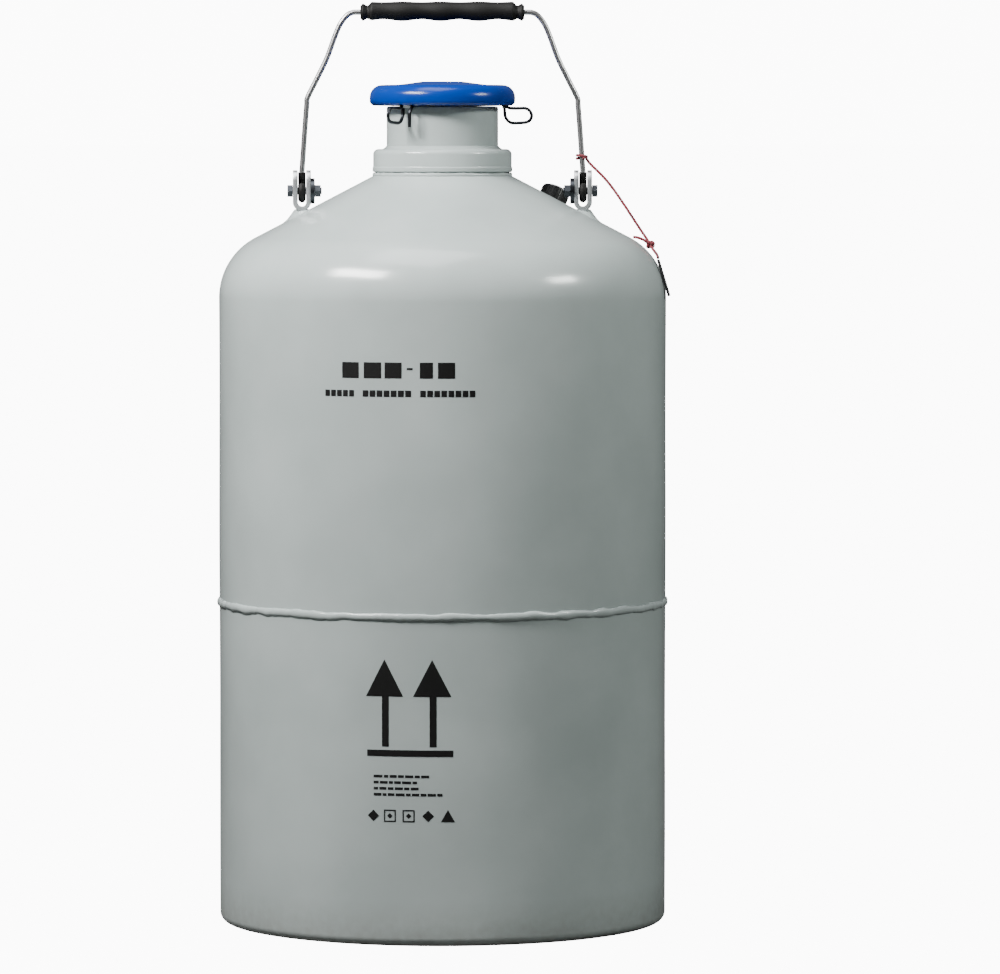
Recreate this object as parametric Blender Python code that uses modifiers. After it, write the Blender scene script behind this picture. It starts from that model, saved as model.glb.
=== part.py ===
"""Ten-litre liquid nitrogen dewar with a folding bail handle.

Sizes below are millimetres, +Z is up, and the origin is the centre of the base on the ground.
The vessel's axis is Z. The handle's pivot line runs along X.
"""
import math

import bmesh
import bpy
from mathutils import Matrix, Vector

MM = 0.001
GAP = 0.3                    # clearance between pieces that touch

# Outer casing, spun and drawn aluminium
BODY_RADIUS = 151.2
CASING_WALL = 2.0
SEAM_Z = 217.0               # height of the girth weld
SHOULDER_SLOPE = math.radians(27.5)
SHOULDER_FILLET = 46.0
CONE_TOP_RADIUS = 47.0
CONE_TOP_Z = 504.6
BASE_CORNER = 6.0
FOOT_INNER_RADIUS = 118.0
DISH_RADIUS = 95.0
DISH_RISE = 8.0
CASING_STEPS = 40

# Neck
SLEEVE_RADIUS = 37.7
SLEEVE_WALL = 2.0
SLEEVE_FOOT_Z = 498.0
NECK_TOP_Z = 551.5
COLLAR_RADIUS = 47.2
COLLAR_FOOT_Z = 506.8
COLLAR_TOP_Z = 522.8
BORE_RADIUS = 25.0
NECK_TUBE_WALL = 2.6
NECK_TUBE_FOOT_Z = 296.0

# Inner vessel, insulation and adsorbent
VESSEL_RADIUS = 118.0
VESSEL_WALL = 2.0
VESSEL_FLOOR_Z = 30.0
VESSEL_TOP_Z = 300.0
VESSEL_SEAM_Z = 165.0
VESSEL_CORNER = 22.0
BLANKET_RADIUS = 140.0
INSIDE_STEPS = 32

# Canisters
CANISTER_COUNT = 6
CANISTER_RADIUS = 19.0
CANISTER_WALL = 1.0
CANISTER_HEIGHT = 120.0
CANISTER_CIRCLE = 73.0
CANISTER_FOOT_Z = 32.4
HANGER_ROD_RADIUS = 1.25
HANGER_NECK_RADIUS = 22.8
RACK_THICKNESS = 3.0
RACK_RADIUS = 97.0

# Index ring on the neck's mouth
RING_FOOT_Z = NECK_TOP_Z + GAP
RING_TOP_Z = 556.2
RING_OUTER_RADIUS = 36.0
RING_BORE_RADIUS = 25.4
NOTCH_FLOOR_Z = 553.0
NOTCH_WIDTH = 3.4

# Lid and plug
LID_RADIUS = 49.2
LID_FOOT_Z = 552.0
LID_FOOT_EDGE = 3.4
LID_RIM_Z = 566.0
LID_TOP_Z = 568.3
LID_EDGE = 8.5
PLUG_RADIUS = 20.5
PLUG_FOOT_Z = 455.0

# Wire clips under the lid's rim
CLIP_ANGLES = {"right": 0.0, "left": 237.0}
CLIP_TAILS = {"right": 0.0, "left": 14.0}    # how far a clip's loose end hangs down
CLIP_WIRE_RADIUS = 0.9
CLIP_SIDE = 4.3
CLIP_PIVOT_RADIUS = 42.2
CLIP_PIVOT_Z = 552.4
LUG_WIDTH = 6.4
LUG_DEPTH = 4.0

# Bail handle
PIVOT_X = 95.0
PIVOT_Z = 494.5
BAIL_WIRE_RADIUS = 2.0
BAIL_EYE_RADIUS = 5.3
BAIL_TOP_Z = 615.0
LEG_LEAN_Z = 507.0
GRIP_HALF_LENGTH = 55.3
GRIP_RADIUS = 5.9
GRIP_WAIST = 4.7

# Handle brackets
STRAP_THICKNESS = 3.0
STRAP_DEPTH = 14.0
STRAP_GAP = 6.0
STRAP_FOOT_Z = 481.0
STRAP_CHAMFER = 4.0
STRAP_TOP_Z = 508.5
PAD_TOP_RADIUS = 10.2
PAD_FOOT_RADIUS = 15.0
PAD_HEIGHT = 14.0
BOLT_RADIUS = 2.5
BOLT_HOLE_RADIUS = 2.85
HEX_RADIUS = 4.62
BOLT_HEAD_HEIGHT = 3.5
NUT_HEIGHT = 4.7
BOLT_TAIL = 2.4

# Vacuum port on the shoulder
PORT_CIRCLE = 90.0
PORT_ANGLE = math.radians(36.0)
PORT_HOLE_RADIUS = 4.4
PORT_CAP_RADIUS = 10.0
PORT_CAP_TOP = 15.4

# Red cord, its loop on the handle's leg, its knot and its tag
CORD_RADIUS = 1.0
LOOP_Z = 517.5
KNOT_CENTRE = (140.3, -8.0, 458.4)
KNOT_RADIUS = 2.9
TAG_SIZE = (1.3, 9.0, 26.0)
TAG_ANGLE = math.radians(-8.0)
TAG_LEAN = math.radians(17.0)
TAG_CIRCLE = 150.4
TAG_MIDDLE_Z = 436.2


def clear_scene():
    """Remove what the file holds, so the part stands alone."""
    for thing in list(bpy.data.objects):
        bpy.data.objects.remove(thing, do_unlink=True)


clear_scene()
PARTS = bpy.data.collections.new("liquid_nitrogen_dewar")
CUTTERS = bpy.data.collections.new("cutters")
bpy.context.scene.collection.children.link(PARTS)
bpy.context.scene.collection.children.link(CUTTERS)


def make_material(name, colour, roughness, metallic=0.0):
    """A Principled material with one colour, roughness and metallic value."""
    made = bpy.data.materials.new(name)
    made.use_nodes = True
    shader = made.node_tree.nodes["Principled BSDF"]
    shader.inputs["Base Color"].default_value = (*colour, 1.0)
    shader.inputs["Roughness"].default_value = roughness
    shader.inputs["Metallic"].default_value = metallic
    return made


GREY_PAINT = make_material("grey_paint", (0.47, 0.50, 0.49), 0.38)
BLUE_PLASTIC = make_material("blue_plastic", (0.002, 0.10, 0.46), 0.25)
BLACK_RUBBER = make_material("black_rubber", (0.012, 0.012, 0.012), 0.6)
BLACK_PLASTIC = make_material("black_plastic", (0.02, 0.02, 0.02), 0.4)
WHITE_PLASTIC = make_material("white_plastic", (0.80, 0.80, 0.78), 0.4)
WHITE_FOAM = make_material("white_foam", (0.85, 0.84, 0.80), 0.9)
ZINC_STEEL = make_material("zinc_steel", (0.60, 0.61, 0.62), 0.3, 1.0)
DARK_STEEL = make_material("dark_steel", (0.07, 0.07, 0.075), 0.35, 1.0)
STAINLESS = make_material("stainless_steel", (0.62, 0.61, 0.60), 0.22, 1.0)
BARE_ALUMINIUM = make_material("bare_aluminium", (0.72, 0.73, 0.74), 0.35, 1.0)
GLASS_RESIN = make_material("glass_fibre_resin", (0.55, 0.50, 0.25), 0.5)
FOIL_BLANKET = make_material("foil_blanket", (0.70, 0.70, 0.72), 0.3, 1.0)
GRANULE_PACK = make_material("granule_pack", (0.35, 0.30, 0.22), 0.9)
RED_CORD = make_material("red_cord", (0.27, 0.012, 0.02), 0.7)


def add_object(name, data, material, collection=PARTS):
    """Link an object for a mesh or a curve and give it its material."""
    thing = bpy.data.objects.new(name, data)
    collection.objects.link(thing)
    if material:
        data.materials.append(material)
    return thing


def mesh_object(name, bm, material, collection=PARTS, smooth=True):
    """Turn a bmesh, in millimetres, into an object."""
    bmesh.ops.scale(bm, vec=(MM, MM, MM), verts=bm.verts)
    bmesh.ops.recalc_face_normals(bm, faces=bm.faces)
    mesh = bpy.data.meshes.new(name)
    bm.to_mesh(mesh)
    bm.free()
    if smooth:
        mesh.shade_smooth()
        mesh.set_sharp_from_angle(angle=math.radians(35))
    return add_object(name, mesh, material, collection)


def arc(centre_r, centre_z, radius, start, end, count):
    """Points on an arc of a turned profile, angles in degrees from the outward direction."""
    points = []
    for step in range(count + 1):
        angle = math.radians(start + (end - start) * step / count)
        points.append((centre_r + radius * math.cos(angle), centre_z + radius * math.sin(angle)))
    return points


def turned(name, profile, material, steps, closed=False, wall=None):
    """A profile of (radius, height) turned about Z. It runs down the outer side, top to bottom."""
    bm = bmesh.new()
    verts = [bm.verts.new((radius * MM, 0.0, height * MM)) for radius, height in profile]
    for first, second in zip(verts, verts[1:]):
        bm.edges.new((first, second))
    if closed:
        bm.edges.new((verts[-1], verts[0]))
    mesh = bpy.data.meshes.new(name)
    bm.to_mesh(mesh)
    bm.free()
    thing = add_object(name, mesh, material)
    screw = thing.modifiers.new("turn", "SCREW")
    screw.steps = steps
    screw.render_steps = steps
    screw.use_merge_vertices = True
    screw.merge_threshold = 0.00001
    screw.use_smooth_shade = True
    if wall:
        skin = thing.modifiers.new("wall", "SOLIDIFY")
        skin.thickness = wall * MM
        skin.offset = -1.0
        skin.use_even_offset = True
    return thing


def wire(name, points, radius, material, cyclic=False, resolution=2):
    """A round wire or cord through points in millimetres, with filled ends."""
    curve = bpy.data.curves.new(name, "CURVE")
    curve.dimensions = "3D"
    curve.bevel_depth = radius * MM
    curve.bevel_resolution = resolution
    curve.use_fill_caps = not cyclic
    spline = curve.splines.new("POLY")
    spline.points.add(len(points) - 1)
    for slot, point in zip(spline.points, points):
        slot.co = (*(Vector(point) * MM), 1.0)
    spline.use_cyclic_u = cyclic
    return add_object(name, curve, material)


def smooth_route(points, spacing):
    """Points every spacing millimetres on a smooth curve through the route's own points."""
    knots = [Vector(point) for point in points]
    knots = [2 * knots[0] - knots[1]] + knots + [2 * knots[-1] - knots[-2]]
    route = []
    for before, start, end, after in zip(knots, knots[1:], knots[2:], knots[3:]):
        count = max(1, round((end - start).length / spacing))
        for step in range(count):
            t = step / count
            route.append(0.5 * (2 * start + (end - before) * t
                                + (2 * before - 5 * start + 4 * end - after) * t ** 2
                                + (3 * start - before - 3 * end + after) * t ** 3))
    route.append(knots[-2])
    return route


def flat_shape(name, outlines, thickness, material, centre, turn=(0.0, 0.0, 0.0)):
    """A flat outline, with any holes, made solid by half its thickness each way."""
    curve = bpy.data.curves.new(name, "CURVE")
    curve.dimensions = "2D"
    curve.fill_mode = "BOTH"
    curve.extrude = thickness * MM / 2
    for outline in outlines:
        spline = curve.splines.new("POLY")
        spline.points.add(len(outline) - 1)
        for slot, (across, up) in zip(spline.points, outline):
            slot.co = (across * MM, up * MM, 0.0, 1.0)
        spline.use_cyclic_u = True
    thing = add_object(name, curve, material)
    thing.location = Vector(centre) * MM
    thing.rotation_euler = turn
    return thing


def as_mesh(thing):
    """Replace a curve object by its mesh, with the caps welded on."""
    bpy.context.view_layer.update()
    evaluated = thing.evaluated_get(bpy.context.evaluated_depsgraph_get())
    mesh = bpy.data.meshes.new_from_object(evaluated)
    bm = bmesh.new()
    bm.from_mesh(mesh)
    bmesh.ops.remove_doubles(bm, verts=bm.verts, dist=0.000001)
    bm.to_mesh(mesh)
    bm.free()
    name = thing.name
    place = thing.matrix_world.copy()
    bpy.data.objects.remove(thing, do_unlink=True)
    made = bpy.data.objects.new(name, mesh)
    PARTS.objects.link(made)
    made.matrix_world = place
    return made


def circle(radius, count, centre=(0.0, 0.0)):
    """Corner points of a regular outline."""
    return [(centre[0] + radius * math.cos(2 * math.pi * step / count),
             centre[1] + radius * math.sin(2 * math.pi * step / count)) for step in range(count)]


def block(name, size, centre, material=None, collection=CUTTERS, turn=(0.0, 0.0, 0.0)):
    """A box with its place in its object."""
    bm = bmesh.new()
    bmesh.ops.create_cube(bm, size=1.0)
    bmesh.ops.scale(bm, vec=size, verts=bm.verts)
    thing = mesh_object(name, bm, material, collection, smooth=False)
    thing.location = Vector(centre) * MM
    thing.rotation_euler = turn
    return thing


def rod(name, radius, length, centre, turn, material=None, collection=CUTTERS, sides=16):
    """A straight round or hexagonal bar, along its own Z, centred."""
    bm = bmesh.new()
    bmesh.ops.create_cone(bm, cap_ends=True, segments=sides, radius1=radius, radius2=radius, depth=length)
    thing = mesh_object(name, bm, material, collection)
    thing.location = Vector(centre) * MM
    thing.rotation_euler = turn
    return thing


def combine(thing, other, operation):
    """Cut, or join, one mesh with another, which becomes a hidden cutter."""
    other.hide_render = True
    other.display_type = "WIRE"
    step = thing.modifiers.new(other.name, "BOOLEAN")
    step.operation = operation
    step.object = other
    step.solver = "EXACT"


def bevel(thing, width, segments=2):
    """Round the sharp edges."""
    edge = thing.modifiers.new("edge", "BEVEL")
    edge.width = width * MM
    edge.segments = segments
    edge.limit_method = "ANGLE"


def pivot(name, centre, turn=(0.0, 0.0, 0.0)):
    """An empty on a joint's axis, for the pieces that move with it."""
    empty = bpy.data.objects.new(name, None)
    PARTS.objects.link(empty)
    empty.location = Vector(centre) * MM
    empty.rotation_euler = turn
    return empty


def attach(pieces, parent):
    """Parent pieces to a pivot and leave them where they are."""
    place = Matrix.LocRotScale(parent.location, parent.rotation_euler, None)
    for piece in pieces:
        piece.parent = parent
        piece.matrix_parent_inverse = place.inverted()


def cone_height(radius):
    """Height of the shoulder cone's outer surface."""
    return CONE_TOP_Z - (radius - CONE_TOP_RADIUS) * math.tan(SHOULDER_SLOPE)


def around(radius, height, across, angle):
    """A point from its radius, height and sideways offset in a vertical plane at an angle."""
    return (radius * math.cos(angle) - across * math.sin(angle),
            radius * math.sin(angle) + across * math.cos(angle), height)


def make_casing():
    """The two halves of the painted outer casing and the weld that joins them."""
    fillet_r = BODY_RADIUS - SHOULDER_FILLET
    drop = SHOULDER_FILLET + (fillet_r - CONE_TOP_RADIUS) * math.sin(SHOULDER_SLOPE)
    fillet_z = CONE_TOP_Z - drop / math.cos(SHOULDER_SLOPE)
    mouth = SLEEVE_RADIUS + GAP + CASING_WALL * math.sin(SHOULDER_SLOPE)
    upper = [(mouth, cone_height(mouth))]
    upper += arc(fillet_r, fillet_z, SHOULDER_FILLET, 90 - math.degrees(SHOULDER_SLOPE), 0, 5)
    upper.append((BODY_RADIUS, SEAM_Z + GAP / 2))
    shell = turned("outer_shell_upper", upper, GREY_PAINT, CASING_STEPS, wall=CASING_WALL)
    combine(shell, rod("port_hole", PORT_HOLE_RADIUS, 12, port_point(0), port_turn(), sides=12), "DIFFERENCE")
    lower = [(BODY_RADIUS, SEAM_Z - GAP / 2)]
    lower += arc(BODY_RADIUS - BASE_CORNER, BASE_CORNER, BASE_CORNER, 0, -90, 4)
    lower += [(FOOT_INNER_RADIUS, 0), (DISH_RADIUS, DISH_RISE), (0, DISH_RISE)]
    turned("outer_shell_lower", lower, GREY_PAINT, CASING_STEPS, wall=CASING_WALL)
    bead = BODY_RADIUS + GAP
    section = [(bead, SEAM_Z + 2.6), (bead + 1.1, SEAM_Z + 1.9), (bead + 1.6, SEAM_Z),
               (bead + 1.1, SEAM_Z - 1.9), (bead, SEAM_Z - 2.6)]
    turned("girth_weld_bead", section, GREY_PAINT, CASING_STEPS, closed=True)


def make_neck():
    """The collar, the painted sleeve and the low-conductivity tube inside it."""
    mouth = SLEEVE_RADIUS + GAP
    seat = COLLAR_RADIUS - 1.6
    collar = [(mouth, COLLAR_TOP_Z), (COLLAR_RADIUS - 4.0, COLLAR_TOP_Z)]
    collar += arc(COLLAR_RADIUS - 4.0, COLLAR_TOP_Z - 4.0, 4.0, 60, 0, 2)
    collar += [(COLLAR_RADIUS, COLLAR_FOOT_Z), (seat, cone_height(seat) + GAP),
               (mouth, cone_height(mouth) + GAP)]
    turned("neck_collar", collar, GREY_PAINT, CASING_STEPS, closed=True)
    flange_r = BORE_RADIUS + NECK_TUBE_WALL + GAP
    sleeve = [(flange_r, NECK_TOP_Z), (SLEEVE_RADIUS - 1.0, NECK_TOP_Z), (SLEEVE_RADIUS, NECK_TOP_Z - 1.0),
              (SLEEVE_RADIUS, SLEEVE_FOOT_Z), (SLEEVE_RADIUS - SLEEVE_WALL, SLEEVE_FOOT_Z),
              (SLEEVE_RADIUS - SLEEVE_WALL, NECK_TOP_Z - 4.0), (flange_r, NECK_TOP_Z - 4.0)]
    turned("neck_sleeve", sleeve, GREY_PAINT, CASING_STEPS, closed=True)
    outer = BORE_RADIUS + NECK_TUBE_WALL
    tube = [(outer, NECK_TOP_Z - GAP), (outer, NECK_TUBE_FOOT_Z),
            (BORE_RADIUS, NECK_TUBE_FOOT_Z), (BORE_RADIUS, NECK_TOP_Z - GAP)]
    turned("neck_tube", tube, GLASS_RESIN, INSIDE_STEPS, closed=True)


def make_inner_vessel():
    """The vessel that holds the liquid, its blanket and the adsorbent around the neck tube."""
    mouth = BORE_RADIUS + NECK_TUBE_WALL + 0.4
    top = [(mouth, VESSEL_TOP_Z), (70, 296.5), (98, 286), (113, 270), (VESSEL_RADIUS, 250),
           (VESSEL_RADIUS, VESSEL_SEAM_Z + GAP / 2)]
    turned("inner_vessel_top", top, BARE_ALUMINIUM, INSIDE_STEPS, wall=VESSEL_WALL)
    corner_r = VESSEL_RADIUS - VESSEL_CORNER
    corner_z = VESSEL_FLOOR_Z + VESSEL_CORNER
    bottom = [(VESSEL_RADIUS, VESSEL_SEAM_Z - GAP / 2)]
    bottom += arc(corner_r, corner_z, VESSEL_CORNER, 0, -90, 4)
    bottom.append((0, VESSEL_FLOOR_Z))
    turned("inner_vessel_bottom", bottom, BARE_ALUMINIUM, INSIDE_STEPS, wall=VESSEL_WALL)
    skin = 0.5
    blanket = [(54, 318), (95, 310), (128, 288), (BLANKET_RADIUS, 262), (BLANKET_RADIUS, 40), (132, 20),
               (110, 13.5), (0, 13.5), (0, VESSEL_FLOOR_Z - skin)]
    blanket += arc(corner_r, corner_z, VESSEL_CORNER + skin, -90, 0, 4)
    blanket += [(VESSEL_RADIUS + skin, 250), (113 + skin, 270 + skin), (98 + skin, 286 + skin),
                (70 + skin, 296.5 + skin), (54, 299)]
    turned("insulation_blanket", blanket, FOIL_BLANKET, INSIDE_STEPS, closed=True)
    pack = [(50, 316), (50, 300.6), (30, 300.6), (30, 316)]
    turned("adsorbent_pack", pack, GRANULE_PACK, INSIDE_STEPS, closed=True)


def make_canisters():
    """The rack on the vessel's floor, the canisters that stand in it and their hanger rods."""
    rack = rod("canister_rack", RACK_RADIUS, RACK_THICKNESS,
               (0, 0, CANISTER_FOOT_Z + RACK_THICKNESS / 2), (0, 0, 0), BARE_ALUMINIUM, PARTS, 32)
    holes = [(0.0, 0.0, BORE_RADIUS)]
    for index in range(CANISTER_COUNT):
        angle = 2 * math.pi * (index + 0.5) / CANISTER_COUNT
        x, y, _ = around(CANISTER_CIRCLE, 0, 0, angle)
        holes.append((x, y, CANISTER_RADIUS + 0.6))
        name = "canister_%d" % (index + 1)
        cup = [(CANISTER_RADIUS, CANISTER_FOOT_Z + CANISTER_HEIGHT), (CANISTER_RADIUS, CANISTER_FOOT_Z),
               (0, CANISTER_FOOT_Z)]
        can = turned(name, cup, STAINLESS, 16, wall=CANISTER_WALL)
        can.location = (x * MM, y * MM, 0)
        stem = CANISTER_CIRCLE - CANISTER_RADIUS + CANISTER_WALL + HANGER_ROD_RADIUS + 0.7
        hook_z = NOTCH_FLOOR_Z + HANGER_ROD_RADIUS + GAP
        path = [(stem, 122), (stem, 156), (stem - 1.6, 164), (HANGER_NECK_RADIUS + 1.8, 282),
                (HANGER_NECK_RADIUS, 291), (HANGER_NECK_RADIUS, hook_z - 3.2),
                (HANGER_NECK_RADIUS + 0.9, hook_z - 0.9), (HANGER_NECK_RADIUS + 3.2, hook_z),
                (RING_OUTER_RADIUS - 2.0, hook_z)]
        points = [around(radius, height, 0, angle) for radius, height in path]
        wire("canister_hanger_%d" % (index + 1), points, HANGER_ROD_RADIUS, STAINLESS)
    for number, (x, y, radius) in enumerate(holes):
        hole = rod("rack_hole_%d" % number, radius, 20, (x, y, CANISTER_FOOT_Z), (0, 0, 0), sides=14)
        combine(rack, hole, "DIFFERENCE")
    section = [(RING_OUTER_RADIUS, RING_TOP_Z), (RING_OUTER_RADIUS, RING_FOOT_Z),
               (RING_BORE_RADIUS, RING_FOOT_Z), (RING_BORE_RADIUS, RING_TOP_Z)]
    ring = turned("canister_index_ring", section, WHITE_PLASTIC, INSIDE_STEPS, closed=True)
    for index in range(CANISTER_COUNT // 2):
        angle = 2 * math.pi * (index + 0.5) / CANISTER_COUNT
        bar = block("ring_notch_%d" % index, (90, NOTCH_WIDTH, 8), (0, 0, NOTCH_FLOOR_Z + 4),
                    turn=(0, 0, angle))
        combine(ring, bar, "DIFFERENCE")


def port_point(height):
    """A point on the vacuum port's axis, at a height above the shoulder."""
    radius = PORT_CIRCLE + height * math.sin(SHOULDER_SLOPE)
    return around(radius, cone_height(PORT_CIRCLE) + height * math.cos(SHOULDER_SLOPE), 0, PORT_ANGLE)


def port_turn():
    """The vacuum port stands square to the shoulder."""
    return (0.0, SHOULDER_SLOPE, PORT_ANGLE)


def make_vacuum_port():
    """The evacuation fitting on the shoulder: its seat, its sealing plug and its cap."""
    seat = [(7.0, 9.0), (7.0, 2.0), (10.5, 1.6), (10.5, 0.6),
            (PORT_HOLE_RADIUS, 0.6), (PORT_HOLE_RADIUS, 9.0)]
    plug = [(0, 8.4), (4.0, 8.4), (4.0, -1.6), (3.2, -2.6), (0, -2.6)]
    cap = [(0, PORT_CAP_TOP), (PORT_CAP_RADIUS - 1.0, PORT_CAP_TOP), (PORT_CAP_RADIUS, PORT_CAP_TOP - 1.0),
           (PORT_CAP_RADIUS, 2.3), (7.4, 2.3), (7.4, 13.4), (0, 13.4)]
    pieces = [turned("vacuum_port_seat", seat, BARE_ALUMINIUM, 20, closed=True),
              turned("vacuum_port_plug", plug, ZINC_STEEL, 16),
              turned("vacuum_port_cap", cap, BLACK_PLASTIC, 24)]
    for piece in pieces:
        piece.location = Vector(port_point(0)) * MM
        piece.rotation_euler = port_turn()


def make_bracket(side, name):
    """One handle bracket: a pad on the shoulder, a U strap, and the bolt and nut of the pivot."""
    x = side * PIVOT_X
    bm = bmesh.new()
    bmesh.ops.create_cone(bm, cap_ends=True, segments=20, radius1=PAD_FOOT_RADIUS,
                          radius2=PAD_TOP_RADIUS, depth=PAD_HEIGHT)
    bmesh.ops.translate(bm, vec=(x, 0, STRAP_FOOT_Z - GAP - PAD_HEIGHT / 2), verts=bm.verts)
    slope = Vector((side * math.sin(SHOULDER_SLOPE), 0, math.cos(SHOULDER_SLOPE)))
    point = Vector((x, 0, cone_height(PIVOT_X))) + slope * GAP
    whole = bm.verts[:] + bm.edges[:] + bm.faces[:]
    cut = bmesh.ops.bisect_plane(bm, geom=whole, plane_co=point, plane_no=slope, clear_inner=True)
    rim = [item for item in cut["geom_cut"] if isinstance(item, bmesh.types.BMEdge)]
    bmesh.ops.edgeloop_fill(bm, edges=rim)
    mesh_object("handle_pad_" + name, bm, GREY_PAINT)

    across_x = (math.pi / 2, 0.0, math.pi / 2)
    half = STRAP_DEPTH / 2
    round_z = STRAP_TOP_Z - half - PIVOT_Z
    outline = [(-half, STRAP_FOOT_Z - PIVOT_Z), (half, STRAP_FOOT_Z - PIVOT_Z)]
    outline += arc(0, round_z, half, 0, 180, 8)
    width = STRAP_GAP + 2 * STRAP_THICKNESS
    strap = flat_shape("handle_bracket_" + name, [outline, circle(BOLT_HOLE_RADIUS, 16)], width,
                       ZINC_STEEL, (x, 0, PIVOT_Z), across_x)
    strap = as_mesh(strap)
    slot_floor = STRAP_FOOT_Z + STRAP_THICKNESS
    slot = block("bracket_slot_" + name, (STRAP_GAP, 30, 40), (x, 0, slot_floor + 20))
    combine(strap, slot, "DIFFERENCE")
    for end in (-1, 1):
        corner = block("bracket_bend_%s_%d" % (name, end), (20, 30, 20),
                       (x + end * (width / 2 - STRAP_CHAMFER / 2 + 10 * math.sqrt(0.5)), 0,
                        STRAP_FOOT_Z + STRAP_CHAMFER / 2 - 10 * math.sqrt(0.5)), turn=(0, math.pi / 4, 0))
        combine(strap, corner, "DIFFERENCE")

    outer = side * (PIVOT_X + width / 2 + GAP + BOLT_HEAD_HEIGHT / 2)
    inner = side * (PIVOT_X - width / 2 - GAP - NUT_HEIGHT / 2)
    tail = inner - side * (NUT_HEIGHT / 2 + BOLT_TAIL)
    shank = rod("pivot_bolt_" + name, BOLT_RADIUS, abs(outer - tail), ((outer + tail) / 2, 0, PIVOT_Z),
                (0, math.pi / 2, 0), DARK_STEEL, PARTS, 16)
    head = rod("bolt_head_" + name, HEX_RADIUS, BOLT_HEAD_HEIGHT, (outer, 0, PIVOT_Z),
               (0, math.pi / 2, 0), sides=6)
    combine(shank, head, "UNION")
    flat_shape("pivot_nut_" + name, [circle(HEX_RADIUS, 6), circle(BOLT_HOLE_RADIUS, 16)], NUT_HEIGHT,
               DARK_STEEL, (inner, 0, PIVOT_Z), across_x)


def bail_leg_x(height):
    """Sideways place of a handle leg, which leans in above its bracket."""
    return PIVOT_X + (91.5 - PIVOT_X) * max(0.0, height - LEG_LEAN_Z) / (556.0 - LEG_LEAN_Z)


def make_bail():
    """The folding handle: one bent wire with an eye at each end, the grip and the cord's loop."""
    half = []
    for step in range(14):
        angle = math.radians(-45 - 20.8 * step)
        half.append((PIVOT_X, BAIL_EYE_RADIUS * math.sin(angle), PIVOT_Z + BAIL_EYE_RADIUS * math.cos(angle)))
    half += [(PIVOT_X, 2.1, 500.0), (PIVOT_X, 0.6, 503.4), (PIVOT_X, 0, LEG_LEAN_Z), (91.5, 0, 555.0),
             (91.0, 0, 557.6), (84.8, 0, 570.0), (78.0, 0, 584.0), (72.7, 0, 598.4), (69.0, 0, 606.8),
             (64.6, 0, 612.6), (61.0, 0, 614.6), (57.0, 0, BAIL_TOP_Z)]
    mirrored = [(-x, y, z) for x, y, z in reversed(half)]
    frame = wire("bail_wire", half + mirrored, BAIL_WIRE_RADIUS, STAINLESS)

    profile = grip_profile()
    grip = turned("bail_grip", profile, BLACK_RUBBER, 16, closed=True)
    grip.location = (0, 0, BAIL_TOP_Z * MM)
    grip.rotation_euler = (0, math.pi / 2, 0)

    loop = []
    ring = BAIL_WIRE_RADIUS + GAP + CORD_RADIUS
    for step in range(12):
        angle = 2 * math.pi * step / 12
        loop.append((bail_leg_x(LOOP_Z) + ring * math.cos(angle), ring * math.sin(angle), LOOP_Z))
    tie = wire("cord_loop", loop, CORD_RADIUS, RED_CORD, cyclic=True)
    attach([frame, grip, tie], pivot("handle_swing_pivot", (0, 0, PIVOT_Z)))


def grip_profile():
    """Profile of the grip along its length, as (radius, place): end knobs, waists and finger bumps."""
    half = GRIP_HALF_LENGTH
    knob = [(BAIL_WIRE_RADIUS + GAP, half), (GRIP_RADIUS - 0.8, half), (GRIP_RADIUS, half - 0.8),
            (GRIP_RADIUS, half - 4.0), (GRIP_WAIST, half - 5.4), (GRIP_WAIST, half - 8.0)]
    reach = half - 11.0
    count = 16
    bumps = []
    for step in range(count + 1):
        place = reach - 2 * reach * step / count
        wave = math.cos(2 * math.pi * place / (2 * reach / 4))
        bumps.append((GRIP_RADIUS + 0.2 - 0.5 * wave, place))
    return knob + bumps + [(radius, -place) for radius, place in reversed(knob)]


def make_lid():
    """The lid with its plug, the lugs under its rim and the wire clips in them."""
    cap = [(0, LID_TOP_Z), (14, LID_TOP_Z), (22, LID_TOP_Z - 0.8), (26, LID_RIM_Z + 0.6)]
    cap += arc(LID_RADIUS - LID_EDGE, LID_RIM_Z - LID_EDGE, LID_EDGE, 90, 0, 4)
    cap += arc(LID_RADIUS - LID_FOOT_EDGE, LID_FOOT_Z + LID_FOOT_EDGE, LID_FOOT_EDGE, 0, -90, 2)
    cap += [(45.4, LID_FOOT_Z), (45.2, 560.6),
            (38.5, 560.6), (38.5, RING_TOP_Z + GAP), (24.6, RING_TOP_Z + GAP), (24.6, 561.0), (0, 561.0)]
    lid = turned("lid_cap", cap, BLUE_PLASTIC, CASING_STEPS)
    disc = [(0, 560.7), (24.0, 560.7), (24.0, 557.4), (0, 557.4)]
    liner = turned("plug_disc", disc, WHITE_PLASTIC, INSIDE_STEPS)
    foam = [(0, 557.1), (PLUG_RADIUS, 557.1), (PLUG_RADIUS, PLUG_FOOT_Z + 6), (PLUG_RADIUS - 3, PLUG_FOOT_Z),
            (0, PLUG_FOOT_Z)]
    plug = turned("neck_plug", foam, WHITE_FOAM, INSIDE_STEPS)
    moving = [lid, liner, plug]
    lid_pivot = pivot("lid_lift_pivot", (0, 0, LID_FOOT_Z))
    for name, degrees in CLIP_ANGLES.items():
        angle = math.radians(degrees)
        moving.append(make_lug(name, angle))
        clip = make_clip(name, angle)
        hinge = pivot("clip_%s_pivot" % name, around(CLIP_PIVOT_RADIUS, CLIP_PIVOT_Z, 0, angle),
                      (0, 0, angle))
        attach([clip], hinge)
        attach([hinge], lid_pivot)
    attach(moving, lid_pivot)


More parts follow.
